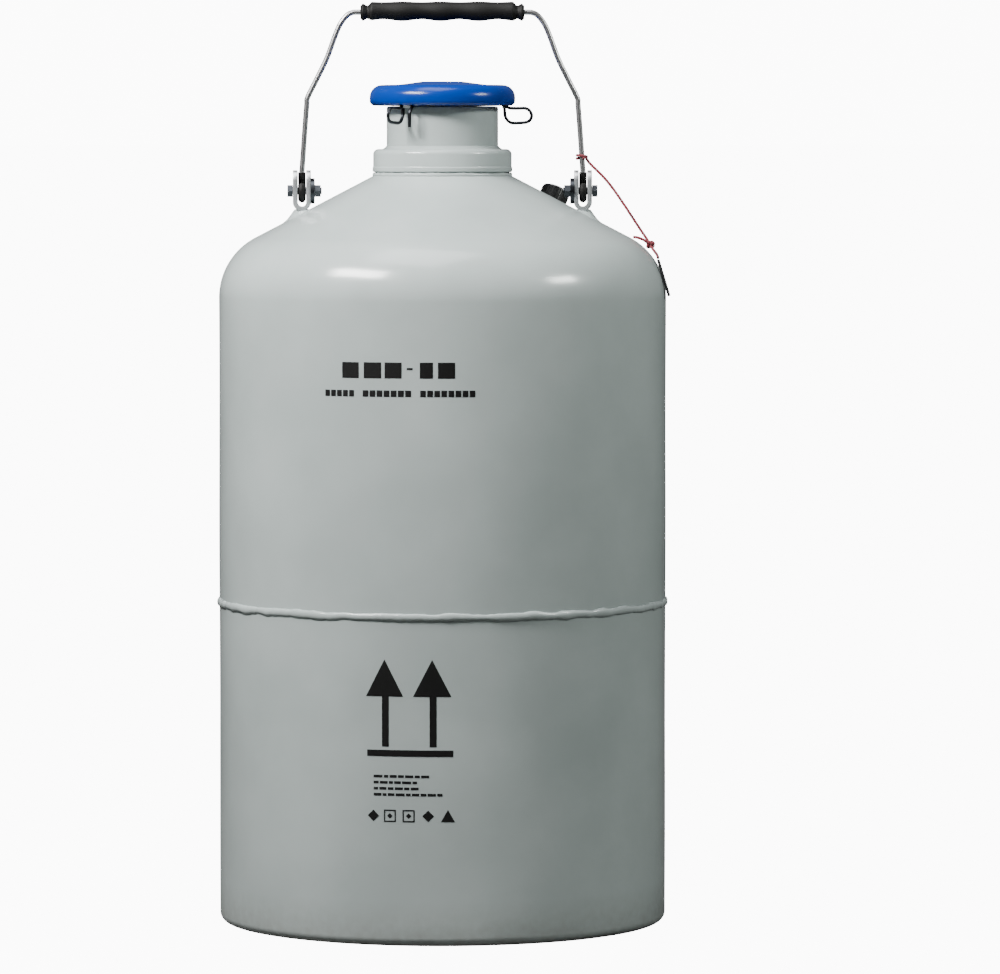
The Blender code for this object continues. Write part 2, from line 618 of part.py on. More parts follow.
def make_lug(name, angle):
    """The drilled tab under the lid's rim that holds a clip's two wire ends."""
    foot = 550.3
    top = 560.3
    lug = block("clip_lug_" + name, (LUG_DEPTH, LUG_WIDTH, top - foot),
                around(CLIP_PIVOT_RADIUS, (top + foot) / 2, 0, angle), ZINC_STEEL, PARTS, (0, 0, angle))
    hole = rod("lug_hole_" + name, CLIP_WIRE_RADIUS + 0.35, LUG_WIDTH * 2,
               around(CLIP_PIVOT_RADIUS, CLIP_PIVOT_Z, 0, angle), (math.pi / 2, 0, angle), sides=12)
    combine(lug, hole, "DIFFERENCE")
    return lug


def make_clip(name, angle):
    """A wire clip: its pin lies in the lug, its loop hangs outside the neck on one side of the lug, and
    its other end is cut short or hangs down as a tail."""
    loop = [(43.2, 551.4), (45.0, 550.5), (47.6, 550.2), (51.5, 550.2), (55.0, 550.3), (57.5, 549.7),
            (59.3, 548.0), (60.2, 545.8), (59.9, 543.6), (58.6, 541.8), (56.4, 540.8), (52.4, 540.4),
            (47.4, 540.3), (45.0, 541.2), (43.2, 543.2), (42.2, 545.8), (41.9, 549.0)]
    pin = (CLIP_PIVOT_RADIUS, CLIP_PIVOT_Z)
    half = [(radius, height, -CLIP_SIDE) for radius, height in reversed(loop)]
    half += [(*pin, 0.8 - CLIP_SIDE), (*pin, CLIP_SIDE - 0.8)]
    drop = CLIP_TAILS[name]
    if drop:
        half += [(43.2, 551.2, CLIP_SIDE), (45.2, 549.8, CLIP_SIDE), (46.6, 547.6, CLIP_SIDE),
                 (46.9, 545.0, CLIP_SIDE), (46.9, 551.4 - drop, CLIP_SIDE)]
    else:
        half.append((*pin, CLIP_SIDE + 0.6))
    points = [around(radius, height, across, angle) for radius, height, across in half]
    return wire("clip_" + name, points, CLIP_WIRE_RADIUS, DARK_STEEL)


def make_cord():
    """The red cord from the handle's leg down to its knot and tag on the shoulder's edge."""
    route = [(99.2, 0.0, 513.6), (104.6, -0.6, 508.2), (110.8, -1.6, 501.7), (118.3, -3.0, 491.8),
             (128.4, -5.2, 476.6), (138.6, -7.6, 461.2)]
    wire("tie_cord", smooth_route(route, 5.0), CORD_RADIUS, RED_CORD)
    bm = bmesh.new()
    bmesh.ops.create_uvsphere(bm, u_segments=10, v_segments=6, radius=KNOT_RADIUS)
    knot = mesh_object("cord_knot", bm, RED_CORD)
    knot.location = Vector(KNOT_CENTRE) * MM
    hang = [(142.4, -11.0, 454.8), (143.4, -14.6, 453.4), (144.6, -18.0, 451.6), (145.1, -19.7, 450.3)]
    wire("tag_cord", smooth_route(hang, 4.0), CORD_RADIUS, RED_CORD)
    tag = block("cord_tag", TAG_SIZE, around(TAG_CIRCLE, TAG_MIDDLE_Z, 0, TAG_ANGLE),
                BLACK_PLASTIC, PARTS, (0, -TAG_LEAN, TAG_ANGLE))
    bevel(tag, 0.4, 1)


make_casing()
make_neck()
make_inner_vessel()
make_canisters()
make_vacuum_port()
make_bracket(1, "right")
make_bracket(-1, "left")
make_bail()
make_lid()
make_cord()
bpy.context.view_layer.update()
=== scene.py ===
import math
from functools import partial

import bmesh
import bpy
from mathutils import Matrix, Vector, noise


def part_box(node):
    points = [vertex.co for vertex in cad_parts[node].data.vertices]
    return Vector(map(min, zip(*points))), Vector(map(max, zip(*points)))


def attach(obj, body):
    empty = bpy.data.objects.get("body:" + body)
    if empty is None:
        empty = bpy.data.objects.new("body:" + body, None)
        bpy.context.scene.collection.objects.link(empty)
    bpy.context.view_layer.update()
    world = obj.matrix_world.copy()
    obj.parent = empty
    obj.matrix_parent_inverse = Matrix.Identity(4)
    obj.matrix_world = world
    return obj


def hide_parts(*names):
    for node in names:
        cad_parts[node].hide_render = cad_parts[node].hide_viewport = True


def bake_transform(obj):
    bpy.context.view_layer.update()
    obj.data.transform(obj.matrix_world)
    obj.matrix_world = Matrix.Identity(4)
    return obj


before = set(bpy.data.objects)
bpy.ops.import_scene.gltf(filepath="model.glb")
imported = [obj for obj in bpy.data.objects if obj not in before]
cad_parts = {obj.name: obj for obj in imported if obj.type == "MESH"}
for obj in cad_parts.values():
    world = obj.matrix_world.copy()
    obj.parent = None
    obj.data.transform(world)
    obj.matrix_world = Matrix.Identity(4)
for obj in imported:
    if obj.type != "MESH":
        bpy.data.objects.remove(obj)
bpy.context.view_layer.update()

# Liquid nitrogen dewar, ten-litre class. Shapes are drawn in millimetres, +Z up, and turned to
# metres when their mesh is made. Geometry trees take metres, as Blender's own sizes do.
MM = 0.001
MERGE = 0.0000005        # vertices closer than this, in metres, are one


def box_mm(node):
    """A node's lowest and highest corners, in millimetres."""
    low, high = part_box(node)
    return Vector(low) / MM, Vector(high) / MM


SEAM_Z = (box_mm("outer_shell_lower")[1].z + box_mm("outer_shell_upper")[0].z) / 2
BODY_R = box_mm("outer_shell_lower")[1].x
BOXES = {node: box_mm(node) for node in ("neck_sleeve", "neck_collar", "lid_cap", "canister_index_ring",
    "bail_grip", "handle_bracket_right", "pivot_bolt_right")}
(_, _, SLEEVE_FOOT), (SLEEVE_R, _, NECK_TOP) = BOXES["neck_sleeve"]
COLLAR_R, _, COLLAR_TOP = BOXES["neck_collar"][1]
(_, _, LID_FOOT), (LID_R, _, LID_TOP) = BOXES["lid_cap"]
(_, _, RING_FOOT), (RING_R, _, RING_TOP) = BOXES["canister_index_ring"]
(_, _, grip_low), (GRIP_HALF, _, grip_high) = BOXES["bail_grip"]
(strap_near, _, STRAP_FOOT), (strap_far, STRAP_HALF, STRAP_TOP) = BOXES["handle_bracket_right"]
(bolt_start, _, bolt_low), (bolt_end, _, bolt_high) = BOXES["pivot_bolt_right"]
BAIL_TOP = (grip_low + grip_high) / 2
PIVOT_X, STRAP_WIDE = (strap_near + strap_far) / 2, strap_far - strap_near
PIVOT_Z, BOLT_LENGTH = (bolt_low + bolt_high) / 2, bolt_end - bolt_start
WIRE_R = 2.0

# The casing's shape between its box's corners
CASING_WALL = 2.0
SLOPE = math.radians(27.5)
SHOULDER_FILLET = 46.0
CONE_TOP_R, CONE_TOP_Z = 47.0, 504.6
FILLET_R = BODY_R - SHOULDER_FILLET
FILLET_Z = CONE_TOP_Z - (SHOULDER_FILLET + (FILLET_R - CONE_TOP_R) * math.sin(SLOPE)) / math.cos(SLOPE)

# Places on the casing and the handle that the drawing gives
PORT_CIRCLE, PORT_ANGLE = 90.0, math.radians(36.0)
CLIP_ANGLES = {"right": 0.0, "left": math.radians(237.0)}
CLIP_TAILS = {"right": 0.0, "left": 14.0}
CLIP_PIVOT, CLIP_SIDE = (42.2, 552.4), 4.3
LOOP_Z = 517.5
LEG_LEAN_Z, LEG_TOP_Z, LEG_TOP_X = 507.0, 556.0, 91.5
KNOT = Vector((140.3, -8.0, 458.4))
TAG_ANGLE, TAG_LEAN, TAG_CIRCLE, TAG_Z = math.radians(-8.0), math.radians(17.0), 150.4, 436.2

# Pivot bolts, nuts and washers
BOLT_HOLE_R, HEX_APOTHEM, HEAD_HIGH = 2.85, 4.0, 3.5
NUT_NEAR, NUT_FAR, WASHER_R, WASHER_THICK = 2.2, 6.4, 8.6, 2.5
BESIDE_STRAP = 0.3

CORD_DIAMETER = 2.0


def linear(code):
    """An sRGB hex colour as linear red, green and blue with an alpha of 1."""
    values = [int(code[i:i + 2], 16) / 255 for i in (1, 3, 5)]
    return tuple(v / 12.92 if v <= 0.04045 else ((v + 0.055) / 1.055) ** 2.4 for v in values) + (1.0,)


def add(tree, kind, inputs=(), **settings):
    """Add a node, set its properties, and link or set its inputs, which come in order or by name or
    number. A kind may end in its operation. A node as a value stands for its first output in use,
    and a list for several links."""
    kind, _, operation = kind.partition(".")
    families = ("ShaderNode", "GeometryNode", "Node")
    family = next(part for part in families if hasattr(bpy.types, part + kind))
    made = tree.nodes.new(family + kind)
    if operation:
        made.operation = operation
    for key, value in settings.items():
        setattr(made, key, value)
    for key, value in inputs.items() if isinstance(inputs, dict) else enumerate(inputs):
        if isinstance(key, int):
            socket = made.inputs[key]
        else:
            socket = next(item for item in made.inputs if item.enabled and item.name == key)
        for source in value if isinstance(value, list) else [value]:
            if isinstance(source, bpy.types.Node):
                source = next(item for item in source.outputs if item.enabled)
            if isinstance(source, bpy.types.NodeSocket):
                tree.links.new(source, socket)
            else:
                socket.default_value = source
    return made


def turns(count):
    """The angles of count even steps around a circle."""
    return [2 * math.pi * step / count for step in range(count)]


def finish_named(name):
    """An empty material, what adds a node to it, and its Object coordinates."""
    made = bpy.data.materials.new(name)
    made.use_nodes = True
    made.node_tree.nodes.clear()
    node = partial(add, made.node_tree)
    return made, node, node("TexCoord").outputs["Object"]


# ---- mesh making ----

def keep(name, mesh, smooth=35):
    """Put a finished mesh in the scene as an object at the origin."""
    mesh.shade_smooth()
    mesh.set_sharp_from_angle(angle=math.radians(smooth))
    thing = bpy.data.objects.new(name, mesh)
    bpy.context.scene.collection.objects.link(thing)
    return thing


def mesh_of(name, bm):
    """A bmesh as a mesh."""
    mesh = bpy.data.meshes.new(name)
    bm.to_mesh(mesh)
    bm.free()
    return mesh


def mesh_piece(name, bm, smooth=35):
    """Make an object of a bmesh in millimetres, merged and facing out."""
    bmesh.ops.scale(bm, vec=(MM, MM, MM), verts=bm.verts)
    bmesh.ops.remove_doubles(bm, verts=bm.verts, dist=MERGE)
    bmesh.ops.recalc_face_normals(bm, faces=bm.faces)
    return keep(name, mesh_of(name, bm), smooth)


def bevelled(thing, width, segments, **settings):
    """Round a piece's edges by width millimetres."""
    edge = thing.modifiers.new("edge", "BEVEL")
    edge.width, edge.segments = width * MM, segments
    for key, value in settings.items():
        setattr(edge, key, value)
    return thing


def block(name, size):
    """A plain block about the origin."""
    bm = bmesh.new()
    bmesh.ops.create_cube(bm, size=1.0)
    bmesh.ops.scale(bm, vec=size, verts=bm.verts)
    return mesh_piece(name, bm)


def bridge(bm, first, second):
    """A band of faces between two rings of vertices, where a ring on the axis is one point."""
    for step in range(len(first)):
        after = (step + 1) % len(first)
        corners = list(dict.fromkeys((first[step], second[step], second[after], first[after])))
        if len(corners) > 2:
            bm.faces.new(corners)


def baked(thing, place=None, smooth=35):
    """Apply an object's modifiers, then move its mesh to its place."""
    bpy.context.view_layer.update()
    evaluated = thing.evaluated_get(bpy.context.evaluated_depsgraph_get())
    mesh = bpy.data.meshes.new_from_object(evaluated)
    if place:
        mesh.transform(place)
    name = thing.name
    bpy.data.objects.remove(thing, do_unlink=True)
    return keep(name, mesh, smooth)


def joined(name, things, smooth=35):
    """Several objects' meshes as one object."""
    bm = bmesh.new()
    for thing in things:
        bm.from_mesh(thing.data)
        bpy.data.objects.remove(thing, do_unlink=True)
    return keep(name, mesh_of(name, bm), smooth)


def arc(centre_r, centre_z, radius, start, end, count):
    """Points on an arc of a profile, angles in degrees from the outward direction."""
    turns = [math.radians(start + (end - start) * step / count) for step in range(count + 1)]
    return [(centre_r + radius * math.cos(turn), centre_z + radius * math.sin(turn)) for turn in turns]


def filleted(corners, steps=6, closed=False):
    """A profile of (radius, height, fillet) corners, its fillets drawn as arcs."""
    line = []
    count = len(corners)
    for index, (r, z, fillet) in enumerate(corners):
        here = Vector((r, z))
        if fillet <= 0 or (not closed and index in (0, count - 1)):
            line.append((r, z))
            continue
        before = (Vector(corners[index - 1][:2]) - here).normalized()
        after = (Vector(corners[(index + 1) % count][:2]) - here).normalized()
        half = before.angle(after) / 2
        centre = here + (before + after).normalized() * fillet / math.sin(half)
        start = here + before * fillet / math.tan(half) - centre
        end = here + after * fillet / math.tan(half) - centre
        line += [tuple(centre + start.slerp(end, step / steps) * fillet) for step in range(steps + 1)]
    return line


def walled(line, wall):
    """Close an outer profile with the same profile one wall further in."""
    inner = []
    for index, point in enumerate(line):
        ahead = Vector(line[min(index + 1, len(line) - 1)]) - Vector(line[max(index - 1, 0)])
        side = Vector((ahead.y, -ahead.x)).normalized() * wall
        inner.append((max(point[0] + side.x, 0.0), point[1] + side.y))
    return line + inner[::-1]


def turned(name, line, closed=False, segments=128, wobble=None, smooth=35):
    """Turn a profile about Z. An open profile starts and ends on the axis."""
    bm = bmesh.new()
    rings = []
    for r, z in line:
        if r < 1e-6:
            rings.append([bm.verts.new((0, 0, z))] * segments)
            continue
        spots = [Vector((r * math.cos(angle), r * math.sin(angle), z)) for angle in turns(segments)]
        rings.append([bm.verts.new(wobble(spot) if wobble else spot) for spot in spots])
    for upper, lower in zip(rings, rings[1:] + rings[:1] if closed else rings[1:]):
        bridge(bm, upper, lower)
    return mesh_piece(name, bm, smooth)


def flowing(points, spacing, closed=False):
    """Points every spacing millimetres, or less, on a smooth curve through a list of points."""
    knots = [Vector(point) for point in points]
    if closed:
        knots = [knots[-1]] + knots + knots[:2]
    else:
        knots = [2 * knots[0] - knots[1]] + knots + [2 * knots[-1] - knots[-2]]
    route = []
    for before, start, end, after in zip(knots, knots[1:], knots[2:], knots[3:]):
        count = max(1, math.ceil((end - start).length / spacing))
        for step in range(count):
            t = step / count
            route.append(0.5 * (2 * start + (end - before) * t + (2 * before - 5 * start + 4 * end -
                after) * t ** 2 + (3 * start - before - 3 * end + after) * t ** 3))
    return route if closed else route + [knots[-2]]


def swept(name, path, radius, sides=16, closed=False):
    """A wire or cord along a path. UV holds the way along it and the turn around it, in millimetres."""
    bm = bmesh.new()
    layer = bm.loops.layers.uv.new("along")
    count = len(path)
    rings, marks, travelled, normal = [], [], 0.0, None
    for index, point in enumerate(path):
        if closed:
            ahead = (path[(index + 1) % count] - path[index - 1]).normalized()
        else:
            ahead = (path[min(index + 1, count - 1)] - path[max(index - 1, 0)]).normalized()
        normal = normal or ahead.orthogonal()
        normal = (normal - ahead * normal.dot(ahead)).normalized()
        side = ahead.cross(normal)
        travelled += (point - path[index - 1]).length if index else 0.0
        ring = []
        for step in range(sides):
            angle = 2 * math.pi * step / sides
            wide = radius(travelled, angle) if callable(radius) else radius
            ring.append(bm.verts.new(point + (normal * math.cos(angle) + side * math.sin(angle)) * wide))
        rings.append(ring)
        marks.append(travelled)
    marks.append(travelled + (path[0] - path[-1]).length)
    girth = 2 * math.pi * (radius(0.0, 0.0) if callable(radius) else radius)
    for index in range(count if closed else count - 1):
        for step in range(sides):
            after = (step + 1) % sides
            ahead = rings[(index + 1) % count]
            face = bm.faces.new((rings[index][step], rings[index][after], ahead[after], ahead[step]))
            around = (girth * step / sides, girth * (step + 1) / sides)
            spots = ((marks[index], around[0]), (marks[index], around[1]), (marks[index + 1], around[1]),
                (marks[index + 1], around[0]))
            for loop, spot in zip(face.loops, spots):
                loop[layer].uv = spot
    if not closed:
        bm.faces.new(rings[0][::-1])
        bm.faces.new(rings[-1])
    return mesh_piece(name, bm, 50)


def braided(travelled, angle):
    """Radius of an eight-strand braid, whose strands pass over and under each other."""
    lay = 2 * math.pi * travelled / 5.2
    left = abs(math.sin(2 * (angle + lay)))
    right = abs(math.sin(2 * (angle - lay)))
    return CORD_DIAMETER / 2 * (0.84 + 0.16 * max(left, right))


def tree_with(name, **inputs):
    """A geometry tree: what adds a node to it, and its inputs. It takes a geometry, the inputs that a
    list names for each type, and a finish."""
    tree = bpy.data.node_groups.new(name, "GeometryNodeTree")
    tree.interface.new_socket("Geometry", in_out="OUTPUT", socket_type="NodeSocketGeometry")
    for kind, labels in {"Geometry": "Geometry", **inputs, "Material": "Finish"}.items():
        for label in labels.split(", "):
            tree.interface.new_socket(label, in_out="INPUT", socket_type="NodeSocket" + kind)
    node = partial(add, tree)
    return node, node("GroupInput").outputs


def end_tree(node, geometry, finish):
    """Close a tree: instances made real, then the finish on every face."""
    real = node("RealizeInstances", {"Geometry": geometry})
    coated = node("SetMaterial", {"Geometry": real, "Material": finish})
    return node("GroupOutput", {"Geometry": coated}).id_data


def spread(node, size, geometry):
    """Copies of a geometry, Count of them from First Angle, evenly about the vessel's axis."""
    spots = node("MeshLine", {"Count": size["Count"], "Offset": (0.0, 0.0, 0.0)})
    step = node("Math.DIVIDE", [2 * math.pi, size["Count"]])
    turn = node("Math.MULTIPLY_ADD", [node("InputIndex"), step, size["First Angle"]])
    facing = node("CombineXYZ", {"Z": turn})
    return node("InstanceOnPoints", {"Points": spots, "Instance": geometry, "Rotation": facing})


def spread_tree():
    """One piece repeated evenly about the vessel's axis."""
    node, size = tree_with("spread_about_axis", Int="Count", Float="First Angle")
    return end_tree(node, spread(node, size, size["Geometry"]), size["Finish"])


def grown(name, tree, values, base=None, place=None, smooth=35):
    """Run a geometry tree on a base object, or on nothing, and keep the plain mesh."""
    if base is None:
        base = keep(name + "_seed", bpy.data.meshes.new(name))
    step = base.modifiers.new(name, "NODES")
    step.node_group = tree
    for item in tree.interface.items_tree:
        if item.item_type == "SOCKET" and item.in_out == "INPUT" and item.name in values:
            step[item.identifier] = values[item.name]
    base.name = name
    return baked(base, place, smooth)


def place_piece(thing, body, finish, slot, *stands_for):
    """Give a piece its finish, its body if it has just one, and the CAD nodes it stands for. Its slot is
    not used.
    """
    thing.data.materials.clear()
    thing.data.materials.append(finish)
    if body:
        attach(thing, body)
    if stands_for:
        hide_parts(*stands_for)
    return thing


# ---- camera, floor and lights ----

def make_camera():
    """A long lens a little above the neck, looking slightly down."""
    data = bpy.data.cameras.new("camera")
    data.lens = 221
    data.sensor_width = 36
    data.clip_end = 2000
    camera = bpy.data.objects.new("camera", data)
    bpy.context.scene.collection.objects.link(camera)
    camera.location = (0.0, -4.155, 0.529)
    aim = Vector((0.0389, 0.0, 0.294)) - camera.location
    camera.rotation_euler = aim.to_track_quat("-Z", "Y").to_euler()
    bpy.context.scene.camera = camera


def soft_box(name, azimuth, elevation, distance, size, power, colour):
    """A rectangular soft box aimed at the shoulder. Its azimuth is from the front, to the right."""
    data = bpy.data.lights.new(name, "AREA")
    data.shape = "RECTANGLE"
    data.size, data.size_y = size
    data.energy = power
    data.color = linear(colour)[:3]
    lamp = bpy.data.objects.new(name, data)
    bpy.context.scene.collection.objects.link(lamp)
    turn, rise = math.radians(azimuth), math.radians(elevation)
    way = Vector((math.sin(turn) * math.cos(rise), -math.cos(turn) * math.cos(rise), math.sin(rise)))
    lamp.location = Vector((0, 0, 0.42)) + way * distance
    lamp.rotation_euler = (-way).to_track_quat("-Z", "Y").to_euler()


def make_studio():
    """A pale floor that runs into a pale sky, two soft boxes and a weak top light. Floor and sky glow
    only where they are looked at, so neither lights the vessel."""
    bm = bmesh.new()
    bmesh.ops.create_circle(bm, cap_ends=True, segments=64, radius=600.0)
    bmesh.ops.translate(bm, vec=(0, 0, -0.0003), verts=bm.verts)
    floor = keep("studio_floor", mesh_of("studio_floor", bm))
    paper, node, _ = finish_named("floor_matt_paper")
    seen = node("LightPath").outputs["Is Camera Ray"]
    matt = node("BsdfPrincipled", {"Base Color": linear("#4C4C4B"), "Roughness": 0.9})
    glow = node("Emission", {"Color": linear("#FFFFFF"), "Strength": 11.0})
    mixed = node("MixShader", [seen, matt, node("AddShader", [matt, glow])])
    node("OutputMaterial", {"Surface": mixed})
    floor.data.materials.append(paper)

    world = bpy.data.worlds.new("studio")
    world.use_nodes = True
    bpy.context.scene.world = world
    world.node_tree.nodes.clear()
    node = partial(add, world.node_tree)
    seen = node("LightPath").outputs["Is Camera Ray"]
    fill = node("Background", {"Color": linear("#EDF3F4"), "Strength": 0.17})
    sky = node("Background", {"Color": linear("#FFFFFF"), "Strength": 11.3})
    node("OutputWorld", {"Surface": node("MixShader", [seen, fill, sky])})

    soft_box("key_left", -49, 40, 1.05, (0.44, 0.18), 24.5, "#FFFDFB")
    soft_box("key_right", 66, 28, 1.2, (0.28, 0.15), 7.5, "#FBFFFA")
    soft_box("top_fill", -30, 75, 1.6, (0.9, 0.9), 20, "#FFFFFF")


make_camera()
make_studio()


# ---- finishes ----

def finished(made, node, surface):
    """Close a material with one surface shader."""
    node("OutputMaterial", {"Surface": node("BsdfPrincipled", surface)})
    return made


def drifting(name, colour, second, rough, blotch_mm, detail, grain_mm, depth_mm, surface, stretch=None):
    """A colour and a roughness that drift together over blotches, and a relief of fine grain, which
    stretch can draw long along an axis. Depth 0 leaves the relief out."""
    made, node, place = finish_named(name)
    drift = node("TexNoise", {"Vector": place, "Scale": 1 / (blotch_mm * MM), "Detail": detail})
    tone = node("Mix", {"Factor": drift, "A": linear(colour), "B": linear(second)}, data_type="RGBA")
    dull = node("MapRange", {"Value": drift, "To Min": rough[0], "To Max": rough[1]})
    surface = {"Base Color": tone, "Roughness": dull, **surface}
    if depth_mm:
        way = node("Mapping", {"Vector": place, "Scale": stretch}) if stretch else place
        grain = node("TexNoise", {"Vector": way, "Scale": 1 / (grain_mm * MM), "Detail": detail})
        surface["Normal"] = node("Bump", {"Height": grain, "Strength": 0.4, "Distance": depth_mm * MM})
    return finished(made, node, surface)


def sprayed_enamel():
    """Light grey enamel, air sprayed on aluminium: soft gloss, orange peel, faint clouds of tone and
    a little dust and handling dirt near the foot."""
    made, node, place = finish_named("enamel_air_sprayed")
    clouds = node("TexNoise", {"Vector": place, "Scale": 1 / 0.08, "Detail": 4.0})
    tone = node("ValToRGB", {0: clouds})
    tone.color_ramp.elements[0].position = 0.35
    tone.color_ramp.elements[0].color = linear("#A7B1B0")
    tone.color_ramp.elements[1].position = 0.68
    tone.color_ramp.elements[1].color = linear("#B2BCBB")
    height = node("SeparateXYZ", [place])
    low = node("MapRange", {"Value": height.outputs["Z"], "From Min": 0.0, "From Max": 0.03,
        "To Min": 0.7, "To Max": 0.0})
    specks = node("TexNoise", {"Vector": place, "Scale": 1 / 0.006, "Detail": 5.0})
    dusty = node("Math.MULTIPLY", [low, specks])
    dirt = node("Mix", {"Factor": dusty, "A": tone, "B": linear("#7C7A73")}, data_type="RGBA")
    gloss = node("MapRange", {"Value": clouds, "To Min": 0.16, "To Max": 0.23})
    waves = node("TexNoise", {"Vector": place, "Scale": 1 / 0.03, "Detail": 2.0})
    peel = node("TexNoise", {"Vector": place, "Scale": 1 / 0.0022, "Detail": 1.0})
    rolling = node("Bump", {"Height": waves, "Strength": 0.12, "Distance": 0.0005})
    skin = node("Bump", {"Height": peel, "Strength": 0.3, "Distance": 0.00005, "Normal": rolling})
    return finished(made, node, {"Base Color": dirt, "Roughness": gloss, "IOR": 1.5, "Normal": skin})


def moulded_plastic(name, colour, second, roughness, grain, depth, index=1.5):
    """Injection-moulded plastic: one colour that drifts slightly, and a fine mould texture of
    grain millimetres that breaks the highlights' edges."""
    return drifting(name, colour, second, (roughness - 0.05, roughness + 0.06), 20, 2.0, grain, depth,
        {"IOR": index})


def worked_metal(name, colour, second, roughness, line_mm, depth, stretch=None):
    """Bare metal with its working marks: fine lines of line_mm, drawn long along each axis by
    stretch, which spread the reflection one way."""
    return drifting(name, colour, second, (roughness - 0.07, roughness + 0.09), 12, 3.0, line_mm, depth,
        {"Metallic": 1.0}, stretch)


def cellular(name, colour, gap_colour, cell_mm, roughness, depth, metallic=0.0):
    """A surface of cells of one size with darker joints: foam beads, granules or crumpled foil."""
    made, node, place = finish_named(name)
    cells = node("TexVoronoi", {"Vector": place, "Scale": 1 / (cell_mm * MM)})
    joint = node("MapRange", {"Value": cells, "From Min": 0.35, "From Max": 0.75})
    tone = node("Mix", {"Factor": joint, "A": linear(colour), "B": linear(gap_colour)}, data_type="RGBA")
    skin = node("Bump", {"Height": cells, "Strength": 0.5, "Distance": depth * MM}, invert=True)
    return finished(made, node, {"Base Color": tone, "Roughness": roughness, "Metallic": metallic,
        "Normal": skin})


def wound_glass_resin():
    """Epoxy tube wound with glass rovings 1.5 mm wide: amber green, half glossy, with the rovings'
    crossing lines under the resin."""
    made, node, place = finish_named("epoxy_glass_tube_wound")
    windings = node("TexWave", {"Vector": place, "Scale": 1 / (1.5 * MM) / 6.28, "Distortion": 1.5,
        "Detail": 2.0}, bands_direction="Z")
    tone = node("Mix", {"Factor": windings, "A": linear("#A79C5E"), "B": linear("#C2B985")},
        data_type="RGBA")
    skin = node("Bump", {"Height": windings, "Strength": 0.3, "Distance": 0.0001})
    return finished(made, node, {"Base Color": tone, "Roughness": 0.38, "IOR": 1.54, "Normal": skin})


def braided_polyester():
    """Dyed polyester cord, braided from eight strands: each strand's filaments run slantwise along the
    cord and give it a soft sheen, and the dye has gone darker where hands and oil reach it."""
    made, node, place = finish_named("polyester_cord_braided_red")
    along = node("UVMap", uv_map="along")
    turned_uv = node("Mapping", {"Vector": along, "Rotation": (0, 0, math.radians(35)),
        "Scale": (1.0, 5.0, 1.0)})
    threads = node("TexNoise", {"Vector": turned_uv, "Scale": 2.2, "Detail": 3.0})
    grime = node("TexNoise", {"Vector": place, "Scale": 1 / 0.012, "Detail": 2.0})
    dye = node("Mix", {"Factor": threads, "A": linear("#64101E"), "B": linear("#93303D")},
        data_type="RGBA")
    dark = node("MapRange", {"Value": grime, "From Min": 0.42, "From Max": 0.68, "To Min": 0.0,
        "To Max": 0.75})
    worn = node("Mix", {"Factor": dark, "A": dye, "B": linear("#35101A")}, data_type="RGBA")
    skin = node("Bump", {"Height": threads, "Strength": 0.5, "Distance": 0.0001})
    return finished(made, node, {"Base Color": worn, "Roughness": 0.72, "Sheen Weight": 0.25,
        "Normal": skin})


def screen_ink():
    """Black screen-printing ink on the enamel: nearly matt, a little thin where the screen lifted."""
    made, node, place = finish_named("ink_screen_printed")
    weave = node("TexNoise", {"Vector": place, "Scale": 1 / 0.0009, "Detail": 2.0})
    thin = node("MapRange", {"Value": weave, "From Min": 0.55, "From Max": 0.8})
    tone = node("Mix", {"Factor": thin, "A": linear("#030303"), "B": linear("#161818")}, data_type="RGBA")
    return finished(made, node, {"Base Color": tone, "Roughness": 0.45, "IOR": 1.5})


ENAMEL = sprayed_enamel()
INK = screen_ink()
RED_BRAID = braided_polyester()
GLASS_RESIN = wound_glass_resin()
# Polyethylene lid, injection moulded: deep blue, glossy, a trace of mould texture
BLUE_LID = moulded_plastic("polyethylene_moulded_blue", "#002A7E", "#00338C", 0.22, 1.2, 0.006, 1.36)
# Polypropylene cap and tag: black with a fine spark-eroded texture
BLACK_CAP = moulded_plastic("polypropylene_moulded_black", "#101112", "#191A1B", 0.38, 0.5, 0.02)
# Soft vinyl grip: black, duller, with a coarser grain that hides fingerprints
VINYL_GRIP = moulded_plastic("vinyl_grip_dip_moulded", "#040404", "#080808", 0.62, 0.8, 0.03, 1.35)
# Polyethylene liner and index ring: natural white, waxy
WHITE_LINER = moulded_plastic("polyethylene_turned_white", "#D9DAD6", "#E6E6E2", 0.42, 1.0, 0.02)
# Straps and lugs: steel with bright, slightly blue zinc plate
ZINC = worked_metal("steel_zinc_plated", "#E2E5E7", "#CDD1D4", 0.40, 0.9, 0.006)
# Pivot bolts, nuts and spring-wire clips: steel, oiled black after heat treatment
DARK_STEEL = worked_metal("steel_oil_blackened", "#33363A", "#45484C", 0.32, 0.8, 0.004)
# Handle and hanger rods: stainless wire, drawn through a die and polished
WIRE = worked_metal("stainless_wire_drawn", "#A9A9A8", "#97979A", 0.36, 3.0, 0.0)
# Canisters: stainless sheet, deep drawn, with marks up the wall
SHEET = worked_metal("stainless_sheet_deep_drawn", "#BDBCB9", "#A8A7A4", 0.28, 0.5, 0.02, (1.0, 1.0, 0.05))
# Inner vessel: aluminium, spun over a former, with rings around it
SPUN = worked_metal("aluminium_spun_bare", "#C9CBCD", "#B1B4B6", 0.36, 0.9, 0.04, (0.05, 0.05, 1.0))
# Blanket: aluminised film and glass paper, wrapped by hand, crumpled in facets of about 12 mm
FOIL = cellular("aluminised_film_wrapped", "#D3D4D6", "#A9ABAE", 12.0, 0.28, 1.2, 1.0)
# Adsorbent: molecular sieve beads of 2 mm in a cloth pack
SIEVE = cellular("molecular_sieve_beads_packed", "#9A8C70", "#5E5442", 2.0, 0.85, 0.8)
